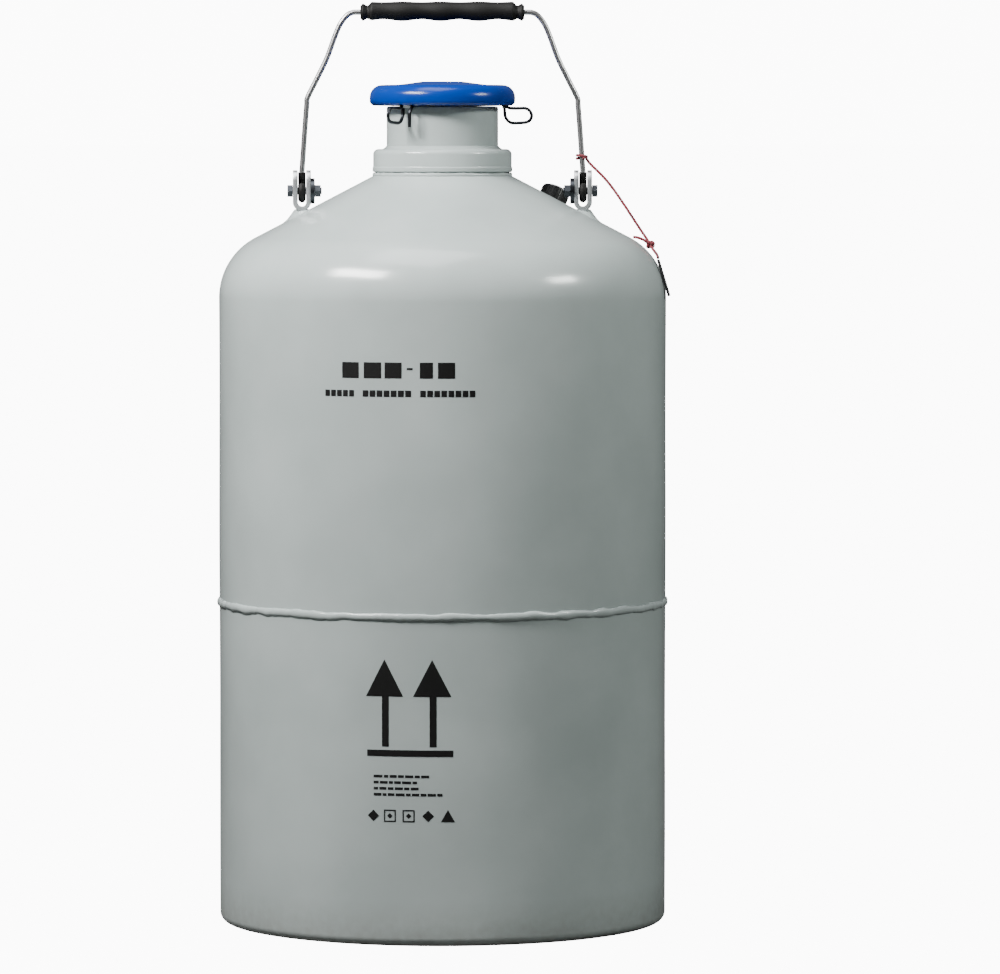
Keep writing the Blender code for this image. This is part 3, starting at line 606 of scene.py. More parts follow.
# Neck plug: expanded polystyrene, beads of 3.5 mm fused in a mould
FOAM = cellular("polystyrene_beads_fused", "#EEEDE8", "#D5D3CC", 3.5, 0.75, 0.3)


# ---- cord ----

def leg_x(height):
    """Sideways place of a handle leg, which leans in above its bracket."""
    return PIVOT_X + (LEG_TOP_X - PIVOT_X) * max(0.0, height - LEG_LEAN_Z) / (LEG_TOP_Z - LEG_LEAN_Z)


def torus_knot(centre, reach, tilt):
    """Path of a small overhand knot, pulled tight."""
    turn = Matrix.Rotation(tilt, 3, "X")
    path = []
    for t in turns(90):
        ring = reach * (0.64 + 0.30 * math.cos(3 * t))
        path.append(centre + turn @ Vector((ring * math.cos(2 * t), reach * 0.42 * math.sin(3 * t),
            ring * math.sin(2 * t))))
    return path


def make_cord():
    """The red cord: a loop round the handle's right leg, a taut run to the knot at the shoulder's edge,
    a short free tail, and the end that carries the tag."""
    route = [(97.2, 0.0, 516.4), (99.2, 0.0, 513.6), (101.8, -0.2, 510.9), (104.6, -0.6, 508.2),
        (107.7, -1.1, 505.1), (110.8, -1.6, 501.7), (114.5, -2.2, 497.1), (118.3, -3.0, 491.8),
        (123.3, -4.1, 484.4), (128.4, -5.2, 476.6), (133.5, -6.4, 468.8), (138.6, -7.6, 461.2),
        (140.3, -8.6, 458.0), (142.4, -11.0, 454.8), (143.4, -14.6, 453.4), (144.6, -18.0, 451.6),
        (145.2, -20.3, 449.4)]
    path = flowing(route, 0.4)
    cord = swept("red_cord", path, braided, sides=24)

    knot = swept("knot_turns", torus_knot(KNOT, 2.6, 0.5), 0.95, sides=14, closed=True)
    tail = swept("knot_tail", flowing([(139.4, -9.2, 458.9), (136.0, -10.6, 461.4), (132.2, -11.0, 463.0),
        (128.6, -10.6, 463.6)], 0.5), braided, sides=20)
    knot = joined("cord_knot_and_tail", [knot, tail], 50)

    out = Matrix.Translation(Vector((TAG_CIRCLE, 0, TAG_Z)) * MM)
    facing = Matrix.Rotation(TAG_ANGLE, 4, "Z") @ out @ Matrix.Rotation(-TAG_LEAN, 4, "Y")
    tag = baked(bevelled(block("tag_card", (1.2, 8.8, 25.8)), 0.45, 4), facing)

    ring = WIRE_R + 0.3 + CORD_DIAMETER / 2
    centre = Vector((leg_x(LOOP_Z), 0, LOOP_Z))
    winding = []
    for step in range(-14, 92):
        angle = 2 * math.pi * step / 60
        winding.append(centre + Vector((ring * math.cos(angle), ring * math.sin(angle),
            1.1 * math.sin(angle / 2))))
    loop = swept("cord_turns_on_leg", winding, braided, sides=20)
    place_piece(loop, "bail", RED_BRAID, "red_cord", "cord_loop")

    place_piece(cord, None, RED_BRAID, "red_cord", "tie_cord", "tag_cord")
    place_piece(knot, "root", RED_BRAID, "red_cord", "cord_knot")
    place_piece(tag, "root", BLACK_CAP, "black_plastic", "cord_tag")
    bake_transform(cord)


make_cord()


# ---- casing ----

def cone_z(radius):
    """Height of the shoulder's outer surface, out to where its fillet starts."""
    return CONE_TOP_Z - (radius - CONE_TOP_R) * math.tan(SLOPE)


def hand_spun(spot):
    """Spun sheet is never quite round: it wanders a few tenths of a millimetre over a hand's width."""
    out = Vector((spot.x, spot.y, 0))
    if out.length < 45:
        return spot
    drift = noise.noise(Vector((spot.x, spot.y, spot.z * 0.8)) / 85) * 0.35
    return spot + out.normalized() * drift


def make_casing():
    """Upper and lower casing, each a spun sheet with its real wall, and the weld bead around them."""
    upper = [(r, cone_z(r)) for r in (SLEEVE_R + 0.4, 42, 47, 55, 63, 71, 79, 87, 95, 103, 111, 118)]
    upper += arc(FILLET_R, FILLET_Z, SHOULDER_FILLET, 90 - math.degrees(SLOPE), 0, 28)
    upper += [(BODY_R, FILLET_Z - (FILLET_Z - SEAM_Z - 0.2) * step / 24) for step in range(1, 25)]
    shell = turned("casing_upper_spun", walled(upper, CASING_WALL), closed=True, segments=256,
        wobble=hand_spun)
    place_piece(shell, "root", ENAMEL, "body_paint", "outer_shell_upper")

    foot_r, corner = 118.0, 6.0
    lower = [(BODY_R, SEAM_Z - 0.2 - (SEAM_Z - 0.2 - corner) * step / 24) for step in range(24)]
    lower += arc(BODY_R - corner, corner, corner, 0, -90, 12)
    lower += filleted([(BODY_R - corner - 1, 0, 0), (foot_r, 0, 4), (95, 8, 6), (60, 8, 0)], 6)[1:]
    lower += [(30, 8), (0, 8)]
    shell = turned("casing_lower_drawn", walled(lower, CASING_WALL), segments=256, wobble=hand_spun)
    place_piece(shell, "root", ENAMEL, "body_paint", "outer_shell_lower")


def weld_tree():
    """A hand-run bead around a cylinder: a round rope of metal, squashed, that wanders up and down and
    swells where the torch stopped."""
    node, size = tree_with("hand_run_weld", Float="Bead Circle, Height, Width, Wander, Lump Length, Seed")
    rope = node("CurvePrimitiveCircle", {"Resolution": 900, "Radius": size["Bead Circle"]})
    half = node("Math.MULTIPLY", [size["Width"], 0.5])
    round_section = node("CurvePrimitiveCircle", {"Resolution": 14, "Radius": half})
    solid = node("CurveToMesh", {"Curve": rope, "Profile Curve": round_section})
    here = node("InputPosition")
    fine = node("Math.DIVIDE", [1.0, size["Lump Length"]])
    flat = node("VectorMath.MULTIPLY", [here, (1.0, 1.0, 0.0)])
    centre = node("VectorMath.NORMALIZE", [flat])
    ring = node("VectorMath.SCALE", {0: centre, "Scale": size["Bead Circle"]})
    swell = node("TexNoise", {"Vector": ring, "W": size["Seed"], "Scale": fine, "Detail": 3.0,
        "Roughness": 0.65}, noise_dimensions="4D")
    later = node("Math.ADD", [size["Seed"], 7.3])
    drift = node("TexNoise", {"Vector": ring, "W": later, "Scale": fine, "Detail": 2.0},
        noise_dimensions="4D")
    fatter = node("MapRange", {"Value": swell, "From Min": 0.25, "From Max": 0.75, "To Min": 0.55,
        "To Max": 1.35})
    from_ring = node("VectorMath.SUBTRACT", [here, ring])
    fat = node("VectorMath.SCALE", {0: from_ring, "Scale": fatter})
    squashed = node("VectorMath.MULTIPLY", [fat, (0.62, 0.62, 1.0)])
    off = node("MapRange", {"Value": drift, "From Min": 0.2, "From Max": 0.8, "To Min": -1.0,
        "To Max": 1.0})
    rise = node("Math.MULTIPLY", [off, size["Wander"]])
    level = node("Math.ADD", [rise, size["Height"]])
    lift = node("CombineXYZ", {"Z": level})
    rough = node("VectorMath.ADD", [squashed, ring])
    moved = node("VectorMath.ADD", [rough, lift])
    bead = node("SetPosition", {"Geometry": solid, "Position": moved})
    return end_tree(node, bead, size["Finish"])


def make_welds():
    """The girth weld, and the finer run under the collar."""
    tree = weld_tree()
    girth = grown("girth_weld_run", tree, {"Bead Circle": (BODY_R + 0.2) * MM, "Height": SEAM_Z * MM,
        "Width": 5.2 * MM, "Wander": 0.9 * MM, "Lump Length": 17 * MM, "Seed": 3.0, "Finish": ENAMEL},
        smooth=180)
    place_piece(girth, "root", ENAMEL, "body_paint", "girth_weld_bead")
    under = grown("collar_weld_run", tree, {"Bead Circle": 46.4 * MM, "Height": 505.4 * MM,
        "Width": 3.0 * MM, "Wander": 0.25 * MM, "Lump Length": 9 * MM, "Seed": 11.0, "Finish": ENAMEL},
        smooth=180)
    place_piece(under, "root", ENAMEL, "body_paint")


def make_neck():
    """Collar with its foot lip and shadow groove, and the sleeve with the fillet that joins them."""
    mouth = SLEEVE_R + 0.15
    collar = filleted([(mouth, COLLAR_TOP + 2.2, 0), (mouth + 1.0, COLLAR_TOP + 1.0, 1.2),
        (mouth + 2.6, COLLAR_TOP, 1.2), (COLLAR_R - 0.35, COLLAR_TOP, 3.6), (COLLAR_R - 0.35, 511.0, 0.8),
        (COLLAR_R + 0.05, 510.3, 0.6), (COLLAR_R + 0.05, 507.6, 0.9), (COLLAR_R - 1.9, 506.9, 0.5),
        (COLLAR_R - 2.2, cone_z(COLLAR_R - 2.2) + 0.3, 0), (mouth, cone_z(mouth) + 0.3, 0)], 6,
        closed=True)
    piece = turned("neck_collar_turned", collar, closed=True, segments=192)
    place_piece(piece, "root", ENAMEL, "body_paint", "neck_collar")
    inner = box_mm("neck_tube")[1].x + 0.3
    sleeve = filleted([(inner, NECK_TOP, 0.4), (SLEEVE_R, NECK_TOP, 1.2), (SLEEVE_R, SLEEVE_FOOT, 0),
        (SLEEVE_R - 2, SLEEVE_FOOT, 0), (SLEEVE_R - 2, NECK_TOP - 4, 1), (inner, NECK_TOP - 4, 0)], 6,
        closed=True)
    piece = turned("neck_sleeve_drawn", sleeve, closed=True, segments=160)
    place_piece(piece, "root", ENAMEL, "body_paint", "neck_sleeve")


make_casing()
make_welds()
make_neck()


# ---- handle brackets ----

def hex_solid(bm, apothem, low, high, chamfer_low):
    """A hexagonal nut or head about X, its corners chamfered at 30 degrees on one or both faces."""
    rings = []
    faces = ((low, chamfer_low, 0), (low, chamfer_low, 1), (high, True, 1), (high, True, 0))
    for at, chamfer, outside in faces:
        ring = []
        for angle in turns(60):
            reach = apothem / math.cos((angle % (math.pi / 3)) - math.pi / 6)
            back = (reach - apothem) * 0.6 if chamfer else 0.0
            wide = reach if outside else (apothem * 0.97 if chamfer else reach * 0.97)
            x = at + (back if at == low else -back) * outside
            ring.append(bm.verts.new((x, wide * math.cos(angle), wide * math.sin(angle))))
        rings.append(ring)
    for first, second in zip(rings, rings[1:]):
        bridge(bm, first, second)
    bm.faces.new(rings[0][::-1])
    bm.faces.new(rings[-1])


def thread_tree():
    """A bolt's shank along X with a screw thread on its far end: a cylinder whose skin rises and falls
    with its place along the bolt and around it."""
    node, size = tree_with("threaded_shank",
        Float="Shank Radius, Length, Plain Length, Pitch, Thread Depth, Head Face")
    rod = node("MeshCylinder", {"Vertices": 36, "Side Segments": 150, "Radius": size["Shank Radius"],
        "Depth": size["Length"]})
    here = node("SeparateXYZ", [node("InputPosition")])
    half = node("Math.MULTIPLY", [size["Length"], 0.5])
    along = node("Math.ADD", [here.outputs["Z"], half])
    pitches = node("Math.DIVIDE", [along, size["Pitch"]])
    angle = node("Math.ARCTAN2", [here.outputs["Y"], here.outputs["X"]])
    part = node("Math.DIVIDE", [angle, 2 * math.pi])
    phase = node("Math.ADD", [pitches, part])
    ridge = node("Math.PINGPONG", [phase, 1.0])
    cut = node("Math.MULTIPLY", [ridge, size["Thread Depth"]])
    started = node("Math.GREATER_THAN", [along, size["Plain Length"]])
    depth = node("Math.MULTIPLY", [cut, started])
    share = node("Math.DIVIDE", [depth, size["Shank Radius"]])
    scale = node("Math.SUBTRACT", [1.0, share])
    y = node("Math.MULTIPLY", [here.outputs["X"], scale])
    z = node("Math.MULTIPLY", [here.outputs["Y"], scale])
    x = node("Math.SUBTRACT", [size["Head Face"], along])
    spot = node("CombineXYZ", {"X": x, "Y": y, "Z": z})
    cutrod = node("SetPosition", {"Geometry": rod, "Position": spot})
    facing = node("FlipFaces", {"Mesh": cutrod})
    both = node("JoinGeometry", {"Geometry": [facing, size["Geometry"]]})
    return end_tree(node, both, size["Finish"])


def bent_strap():
    """One strap: a flat strip with round, drilled ends, bent into a U whose foot is a full round."""
    thick, ear = 3.0, STRAP_HALF
    bend = STRAP_WIDE / 2 - thick / 2
    straight = PIVOT_Z - STRAP_FOOT - thick / 2 - bend
    run = math.pi * bend / 2 + straight
    ear_middle = run + STRAP_TOP - ear - PIVOT_Z
    outline = []
    for side in (1, -1):
        for step in range(25):
            angle = -math.pi / 2 + math.pi * step / 24
            outline.append((side * (ear_middle + ear * math.cos(angle)), side * ear * math.sin(angle)))
    curve = bpy.data.curves.new("strap_strip", "CURVE")
    curve.dimensions = "2D"
    curve.fill_mode = "BOTH"
    curve.extrude = thick / 2
    holes = [[(side * run + BOLT_HOLE_R * math.cos(a), BOLT_HOLE_R * math.sin(a)) for a in turns(32)]
             for side in (1, -1)]
    for loop in [outline] + holes:
        spline = curve.splines.new("POLY")
        spline.points.add(len(loop) - 1)
        for point, (x, y) in zip(spline.points, loop):
            point.co = (x, y, 0, 1)
        spline.use_cyclic_u = True
    flat = bpy.data.objects.new("strap_strip", curve)
    bpy.context.scene.collection.objects.link(flat)
    strip = baked(flat)
    bm = bmesh.new()
    bm.from_mesh(strip.data)
    bmesh.ops.remove_doubles(bm, verts=bm.verts, dist=0.001)
    bpy.data.objects.remove(strip, do_unlink=True)
    for step in range(-10, 11):
        geom = bm.verts[:] + bm.edges[:] + bm.faces[:]
        bmesh.ops.bisect_plane(bm, geom=geom, plane_co=(step * math.pi * bend / 20, 0, 0),
            plane_no=(1, 0, 0))
    for vert in bm.verts:
        s, y, t = vert.co
        if abs(s) < math.pi * bend / 2:
            turn = s / bend
            reach = bend - t
            x, z = reach * math.sin(turn), bend - reach * math.cos(turn)
        else:
            x, z = math.copysign(bend - t, s), bend + abs(s) - math.pi * bend / 2
        vert.co = (PIVOT_X + x, y, STRAP_FOOT + thick / 2 + z)
    return bevelled(mesh_piece("bracket_strap", bm), 0.35, 3, limit_method="ANGLE")


def pad_on_shoulder():
    """The pad under the right strap, welded to the shoulder all round: a stub that flares into it."""
    bm = bmesh.new()
    top = STRAP_FOOT + 1.2
    rings = []
    # How far down the stub each ring is, its radius, and whether the weld makes it uneven
    for down, reach, lumpy in ((0.0, 4.0, 0), (0.06, 5.2, 0), (0.3, 6.4, 0), (0.6, 8.2, 1),
            (0.82, 10.2, 1), (0.95, 12.2, 1), (1.0, 13.8, 1)):
        ring = []
        for angle in turns(72):
            spot = Vector((math.cos(angle), math.sin(angle), reach * 0.2))
            uneven = 1 + 0.07 * lumpy * noise.noise(spot * 2.4)
            x = PIVOT_X + reach * uneven * math.cos(angle)
            y = reach * uneven * math.sin(angle) * 1.05
            foot = cone_z(math.hypot(x, y)) - 0.5
            ring.append(bm.verts.new((x, y, top + (foot - top) * down)))
        rings.append(ring)
    for upper, lower in zip(rings, rings[1:]):
        bridge(bm, upper, lower)
    bm.faces.new(rings[0][::-1])
    bm.faces.new(rings[-1])
    return mesh_piece("bracket_pad", bm, 60)


def about_x(name, section):
    """A ring about X: a closed section of (place along X, radius) points turned around it."""
    ring = turned(name, [(radius, place) for place, radius in section], closed=True, segments=64)
    return baked(ring, Matrix.Rotation(math.pi / 2, 4, "Y"))


def make_brackets():
    """Pads, straps, bolts and nuts: each drawn on the right and repeated on the left."""
    pair = spread_tree()
    pads = grown("bracket_pads_welded", pair, {"Count": 2, "Finish": ENAMEL}, pad_on_shoulder(),
        smooth=60)
    place_piece(pads, "root", ENAMEL, "body_paint", "handle_pad_left", "handle_pad_right")
    straps = grown("bracket_straps_bent", pair, {"Count": 2, "Finish": ZINC}, bent_strap())
    place_piece(straps, "root", ZINC, "plated_steel", "handle_bracket_left", "handle_bracket_right")

    place = Matrix.Translation((0, 0, PIVOT_Z * MM))
    face = PIVOT_X + STRAP_WIDE / 2 + BESIDE_STRAP
    bm = bmesh.new()
    hex_solid(bm, HEX_APOTHEM, face, face + HEAD_HIGH, False)
    bolt = grown("bolt_right", thread_tree(), {"Shank Radius": 2.5 * MM,
        "Length": (BOLT_LENGTH - HEAD_HIGH + 1) * MM, "Plain Length": 12 * MM, "Pitch": 0.8 * MM,
        "Thread Depth": 0.4 * MM, "Head Face": (face + 1) * MM, "Finish": DARK_STEEL},
        mesh_piece("bolt_head", bm, 25), smooth=25)
    bolts = grown("pivot_bolts", pair, {"Count": 2, "Finish": DARK_STEEL}, bolt, place, 25)
    place_piece(bolts, "root", DARK_STEEL, "dark_steel", "pivot_bolt_left", "pivot_bolt_right")
    bm = bmesh.new()
    near = PIVOT_X - STRAP_WIDE / 2 - BESIDE_STRAP
    hex_solid(bm, HEX_APOTHEM, near - NUT_FAR, near - NUT_NEAR, True)
    flat = near + 0.2
    washer = [(flat, 2.9), (flat, WASHER_R), (flat - WASHER_THICK, WASHER_R), (flat - WASHER_THICK, 2.9)]
    nut = joined("nut_and_washer", [mesh_piece("nut_right", bm, 25), about_x("washer_right", washer)])
    nuts = grown("pivot_nuts", pair, {"Count": 2, "Finish": DARK_STEEL}, nut, place, 25)
    place_piece(nuts, "root", DARK_STEEL, "dark_steel", "pivot_nut_left", "pivot_nut_right")


make_brackets()


# ---- vacuum port ----

def ribs_tree():
    """Upright ribs set around a round cap, each a thin round bar sunk half into its skin."""
    node, size = tree_with("ribs_around_cap", Float="Rib Circle, Rib Radius, Rib Length, Rib Middle",
        Int="Ribs")
    ring = node("MeshCircle", {"Vertices": size["Ribs"], "Radius": size["Rib Circle"]})
    lift = node("CombineXYZ", {"Z": size["Rib Middle"]})
    raised = node("Transform", {"Geometry": ring, "Translation": lift})
    bar = node("MeshCylinder", {"Vertices": 8, "Radius": size["Rib Radius"], "Depth": size["Rib Length"]})
    bars = node("InstanceOnPoints", {"Points": raised, "Instance": bar})
    both = node("JoinGeometry", {"Geometry": [bars, size["Geometry"]]})
    return end_tree(node, both, size["Finish"])


def make_vacuum_port():
    """The evacuation port's seat and its black cap, square to the shoulder."""
    turn = Matrix.Rotation(PORT_ANGLE, 4, "Z")
    foot = turn @ Vector((PORT_CIRCLE, 0, cone_z(PORT_CIRCLE)))
    place = Matrix.Translation(foot * MM) @ turn @ Matrix.Rotation(SLOPE, 4, "Y")
    seat = filleted([(7.0, 9.0, 0.3), (7.0, 2.4, 0.8), (10.5, 1.7, 0.4), (10.5, 0.2, 0), (4.4, 0.2, 0),
        (4.4, 9.0, 0.3)], 4, closed=True)
    seat = baked(turned("port_seat_turned", seat, closed=True, segments=64), place)
    place_piece(seat, "root", SPUN, "bare_aluminium", "vacuum_port_seat")
    cap = filleted([(0, 15.4, 0), (7.2, 15.4, 1.0), (7.9, 14.8, 0.5), (9.6, 14.6, 1.2), (9.6, 2.9, 0.3),
        (9.9, 2.7, 0.2), (9.9, 2.3, 0.1), (7.4, 2.3, 0.2), (7.4, 13.4, 0.6), (0, 13.4, 0)], 5)
    cap = grown("port_cap_moulded", ribs_tree(), {"Rib Circle": 9.55 * MM, "Ribs": 40,
        "Rib Radius": 0.4 * MM, "Rib Length": 9.4 * MM, "Rib Middle": 8.4 * MM, "Finish": BLACK_CAP},
        turned("cap_blank", cap, segments=96), place)
    place_piece(cap, "root", BLACK_CAP, "black_plastic", "vacuum_port_cap")


make_vacuum_port()


# ---- bail handle ----

def grip_tree():
    """The moulded grip: a sleeve along X with four finger waves, deeper underneath, whose ends narrow to a
    waist and then swell to a round knob."""
    node, size = tree_with("finger_grip",
        Float="Half Length, Knob Radius, Knob Length, Waist Radius, Waist Length, "
        "Body Radius, Wave Height, Wave Length, Wave Start, Top Bulge, Top")
    depth = node("Math.MULTIPLY", [size["Half Length"], 2.0])
    blank = node("MeshCylinder", {"Vertices": 40, "Side Segments": 260, "Fill Segments": 3, "Radius": 1.0,
        "Depth": depth})
    here = node("SeparateXYZ", [node("InputPosition")])
    along = here.outputs["Z"]
    shifted = node("Math.SUBTRACT", [along, size["Wave Start"]])
    cycles = node("Math.DIVIDE", [shifted, size["Wave Length"]])
    swing = node("Math.MULTIPLY", [cycles, 2 * math.pi])
    wave = node("Math.COSINE", [swing])
    under = node("MapRange", {"Value": here.outputs["X"], "From Min": -1.0, "From Max": 1.0,
        "To Min": 0.35, "To Max": 1.0})
    deep = node("Math.MULTIPLY", [under, size["Wave Height"]])
    ripple = node("Math.MULTIPLY", [wave, deep])
    rise = node("Math.MULTIPLY", [here.outputs["X"], size["Top Bulge"]])
    oval = node("Math.SUBTRACT", [size["Body Radius"], rise])
    body = node("Math.ADD", [ripple, oval])
    out = node("Math.ABSOLUTE", [along])
    from_end = node("Math.SUBTRACT", [size["Half Length"], out])
    into_waist = node("MapRange", {"Value": from_end, "From Min": size["Knob Length"],
        "From Max": size["Waist Length"]}, interpolation_type="SMOOTHSTEP")
    thin = node("Math.MULTIPLY", [size["Knob Length"], 0.35])
    knob_place = node("MapRange", {"Value": from_end, "From Min": size["Knob Length"], "From Max": thin},
        interpolation_type="SMOOTHSTEP")
    inner = node("Mix", {"Factor": into_waist, "A": size["Waist Radius"], "B": body}, data_type="FLOAT")
    girth = node("Mix", {"Factor": knob_place, "A": inner, "B": size["Knob Radius"]}, data_type="FLOAT")
    soft_end = node("MapRange", {"Value": from_end, "From Min": 0.0, "From Max": 0.0016, "To Min": 0.0015,
        "To Max": 0.0}, interpolation_type="SMOOTHSTEP")
    reach = node("Math.SUBTRACT", [girth, soft_end])
    y = node("Math.MULTIPLY", [here.outputs["Y"], reach])
    down = node("Math.MULTIPLY", [here.outputs["X"], reach])
    z = node("Math.SUBTRACT", [size["Top"], down])
    spot = node("CombineXYZ", {"X": along, "Y": y, "Z": z})
    sleeve = node("SetPosition", {"Geometry": blank, "Position": spot})
    return end_tree(node, sleeve, size["Finish"])


def make_bail():
    """The handle's wire, bent from one length with an eye at each end, and its grip."""
    eye = 5.3
    half = []
    for step in range(14):
        angle = math.radians(-45 - 20.8 * step)
        half.append((PIVOT_X, eye * math.sin(angle), PIVOT_Z + eye * math.cos(angle)))
    half += [(PIVOT_X, 2.1, 500.0), (PIVOT_X, 0.6, 503.4), (PIVOT_X, 0, LEG_LEAN_Z), (leg_x(520), 0, 520),
        (leg_x(538), 0, 538), (91.6, 0, 553.0), (91.0, 0, 557.6), (84.8, 0, 570.0), (78.0, 0, 584.0),
        (72.7, 0, 598.4), (69.0, 0, 606.8), (64.6, 0, 612.6), (61.0, 0, 614.6), (56.0, 0, BAIL_TOP),
        (30.0, 0, BAIL_TOP)]
    route = half + [(-x, y, z) for x, y, z in reversed(half)]
    wire = swept("bail_wire_bent", flowing(route, 1.2), WIRE_R - 0.15, sides=24)
    place_piece(wire, "bail", WIRE, "stainless_wire", "bail_wire")
    # Black vinyl sleeves over both eyes are painted shade: a dark piece that fills the gap between each
    # strap's ears, where there is only shade.
    eye_path = half[:16] + [(PIVOT_X, 0, LEG_LEAN_Z)]
    sleeves = [swept("eye_sleeve", flowing([(side * x, y, z) for x, y, z in eye_path], 1.0), 2.6,
        sides=20) for side in (1, -1)]
    place_piece(joined("bail_eye_sleeves", sleeves, 50), "bail", VINYL_GRIP, "grip_rubber")
    grip = grown("bail_grip_moulded", grip_tree(), {"Half Length": GRIP_HALF * MM,
        "Knob Radius": 5.9 * MM, "Knob Length": 4.6 * MM, "Waist Radius": 4.5 * MM,
        "Waist Length": 8.0 * MM, "Body Radius": 6.2 * MM, "Top Bulge": 0.8 * MM, "Wave Height": 0.6 * MM,
        "Wave Length": 25.8 * MM, "Wave Start": -1.2 * MM, "Top": BAIL_TOP * MM, "Finish": VINYL_GRIP},
        smooth=50)
    bm = bmesh.new()
    bm.from_mesh(grip.data)
    bmesh.ops.recalc_face_normals(bm, faces=bm.faces)
    bm.to_mesh(grip.data)
    bm.free()
    place_piece(grip, "bail", VINYL_GRIP, "grip_rubber", "bail_grip")


make_bail()


# ---- lid, plug and clips ----

def around(radius, height, across, angle):
    """A point from its radius, height and sideways offset in a vertical plane at an angle."""
    return Vector((radius * math.cos(angle) - across * math.sin(angle),
        radius * math.sin(angle) + across * math.cos(angle), height))


def make_lid():
    """The moulded lid with its low crown, round edge and foot bead, and its liner and foam plug."""
    seat = RING_TOP + 0.3
    cap = filleted([(0, LID_TOP, 0), (14, LID_TOP, 6), (24, LID_TOP - 1.4, 6), (32, 566.0, 6),
        (LID_R, 566.0, 8.3), (LID_R, LID_FOOT, 3.4), (45.4, LID_FOOT, 0.4), (45.2, 560.6, 1.2),
        (38.5, 560.6, 1.0), (38.5, seat, 0.5), (24.6, seat, 0.5), (24.6, 561.0, 0.4), (0, 561.0, 0)], 7)
    lid = turned("lid_moulded", cap, segments=192, smooth=40)
    place_piece(lid, "lid", BLUE_LID, "blue_plastic", "lid_cap")
    disc = filleted([(0, 560.7, 0), (24, 560.7, 0.4), (24, 557.4, 0.4), (0, 557.4, 0)], 4)
    place_piece(turned("plug_liner", disc, segments=96), "lid", WHITE_LINER, "white_plastic", "plug_disc")
    low, high = box_mm("neck_plug")
    foam = filleted([(0, high.z, 0), (high.x, high.z, 0.6), (high.x, low.z + 5, 2.0),
        (high.x - 4, low.z, 2.0), (0, low.z, 0)], 5)
    place_piece(turned("neck_plug_foam", foam, segments=96), "lid", FOAM, "plug_foam", "neck_plug")


def make_clip(name, angle):
    """A wire clip and the drilled lug that its pin lies in. Its loop is on one side of the lug, and its
    other end is cut short or hangs down as a tail."""
    loop = [(43.0, 551.6), (45.0, 550.5), (47.6, 550.2), (51.5, 550.2), (55.0, 550.3), (57.5, 549.7),
        (59.3, 548.0), (60.2, 545.8), (59.9, 543.6), (58.6, 541.8), (56.4, 540.8), (52.4, 540.4),
        (47.4, 540.3), (45.0, 541.2), (43.2, 543.2), (42.2, 545.8), (41.9, 550.4)]
    wire = [(r, z, -CLIP_SIDE) for r, z in reversed(loop)]
    wire += [(*CLIP_PIVOT, 1.0 - CLIP_SIDE), (*CLIP_PIVOT, 0.0), (*CLIP_PIVOT, CLIP_SIDE - 0.8)]
    if CLIP_TAILS[name]:
        wire += [(43.2, 551.2, CLIP_SIDE), (45.2, 549.8, CLIP_SIDE), (46.6, 547.6, CLIP_SIDE),
            (46.9, 545.0, CLIP_SIDE), (46.9, 551.4 - CLIP_TAILS[name], CLIP_SIDE)]
    else:
        wire.append((*CLIP_PIVOT, CLIP_SIDE + 0.6))
    route = [around(r, z, across, angle) for r, z, across in wire]
    clip = swept("clip_wire_" + name, flowing(route, 0.5), 1.12, sides=16)
    place_piece(clip, "clip_" + name, DARK_STEEL, "dark_steel", "clip_" + name)

    middle = around(CLIP_PIVOT[0], 555.3, 0, angle) * MM
    lug = baked(bevelled(block("clip_lug_pressed_" + name, (3.9, 6.3, 10.0)), 0.7, 4),
        Matrix.Translation(middle) @ Matrix.Rotation(angle, 4, "Z"))
    place_piece(lug, "lid", ZINC, "plated_steel", "clip_lug_" + name)


make_lid()
for clip_name, clip_angle in CLIP_ANGLES.items():
    make_clip(clip_name, clip_angle)


# ---- what shows in the neck ----

def notch_tree():
    """A ring with slots milled across its top face, evenly around it."""
    node, size = tree_with("notched_ring", Int="Count", Vector="Notch Size, Notch Middle",
        Float="First Angle")
    cutter = node("MeshCube", {"Size": size["Notch Size"]})
    moved = node("Transform", {"Geometry": cutter, "Translation": size["Notch Middle"]})
    real = node("RealizeInstances", {"Geometry": spread(node, size, moved)})
    milled = node("MeshBoolean", [size["Geometry"], real], operation="DIFFERENCE", solver="EXACT")
    return end_tree(node, milled, size["Finish"])


def make_index_ring():
    """The white ring on the neck's mouth, notched for the canisters' hanger rods, and the rods."""
    first = math.radians(30)
    section = filleted([(RING_R, RING_TOP, 0.6), (RING_R, RING_FOOT, 0.3), (25.4, RING_FOOT, 0.3),
        (25.4, RING_TOP, 0.6)], 4, closed=True)
    ring = grown("index_ring_milled", notch_tree(), {"Count": 6, "Notch Size": (14 * MM, 3.4 * MM,
        8 * MM), "Notch Middle": (31 * MM, 0.0, 557.0 * MM), "First Angle": first, "Finish": WHITE_LINER},
        turned("ring_blank", section, closed=True, segments=144))
    place_piece(ring, "root", WHITE_LINER, "white_plastic", "canister_index_ring")
    stem = 73.0 - 19.0 + 1.0 + 1.25 + 0.7
    rod = [(stem, 0, 122), (stem, 0, 150), (stem, 0, 157), (stem - 1.6, 0, 164), (40.6, 0, 223),
        (24.6, 0, 282), (22.8, 0, 291), (22.8, 0, 420), (22.8, 0, 551.4), (23.7, 0, 553.6),
        (26.0, 0, 554.55), (34.0, 0, 554.55)]
    rods = grown("canister_hanger_rods", spread_tree(), {"Count": 6, "First Angle": first,
        "Finish": WIRE}, swept("hanger_rod", flowing(rod, 1.5), 1.25, sides=12), smooth=50)
    place_piece(rods, "root", WIRE, "stainless_wire", *["canister_hanger_%d" % n for n in range(1, 7)])


make_index_ring()


# ---- printed marks on the front ----

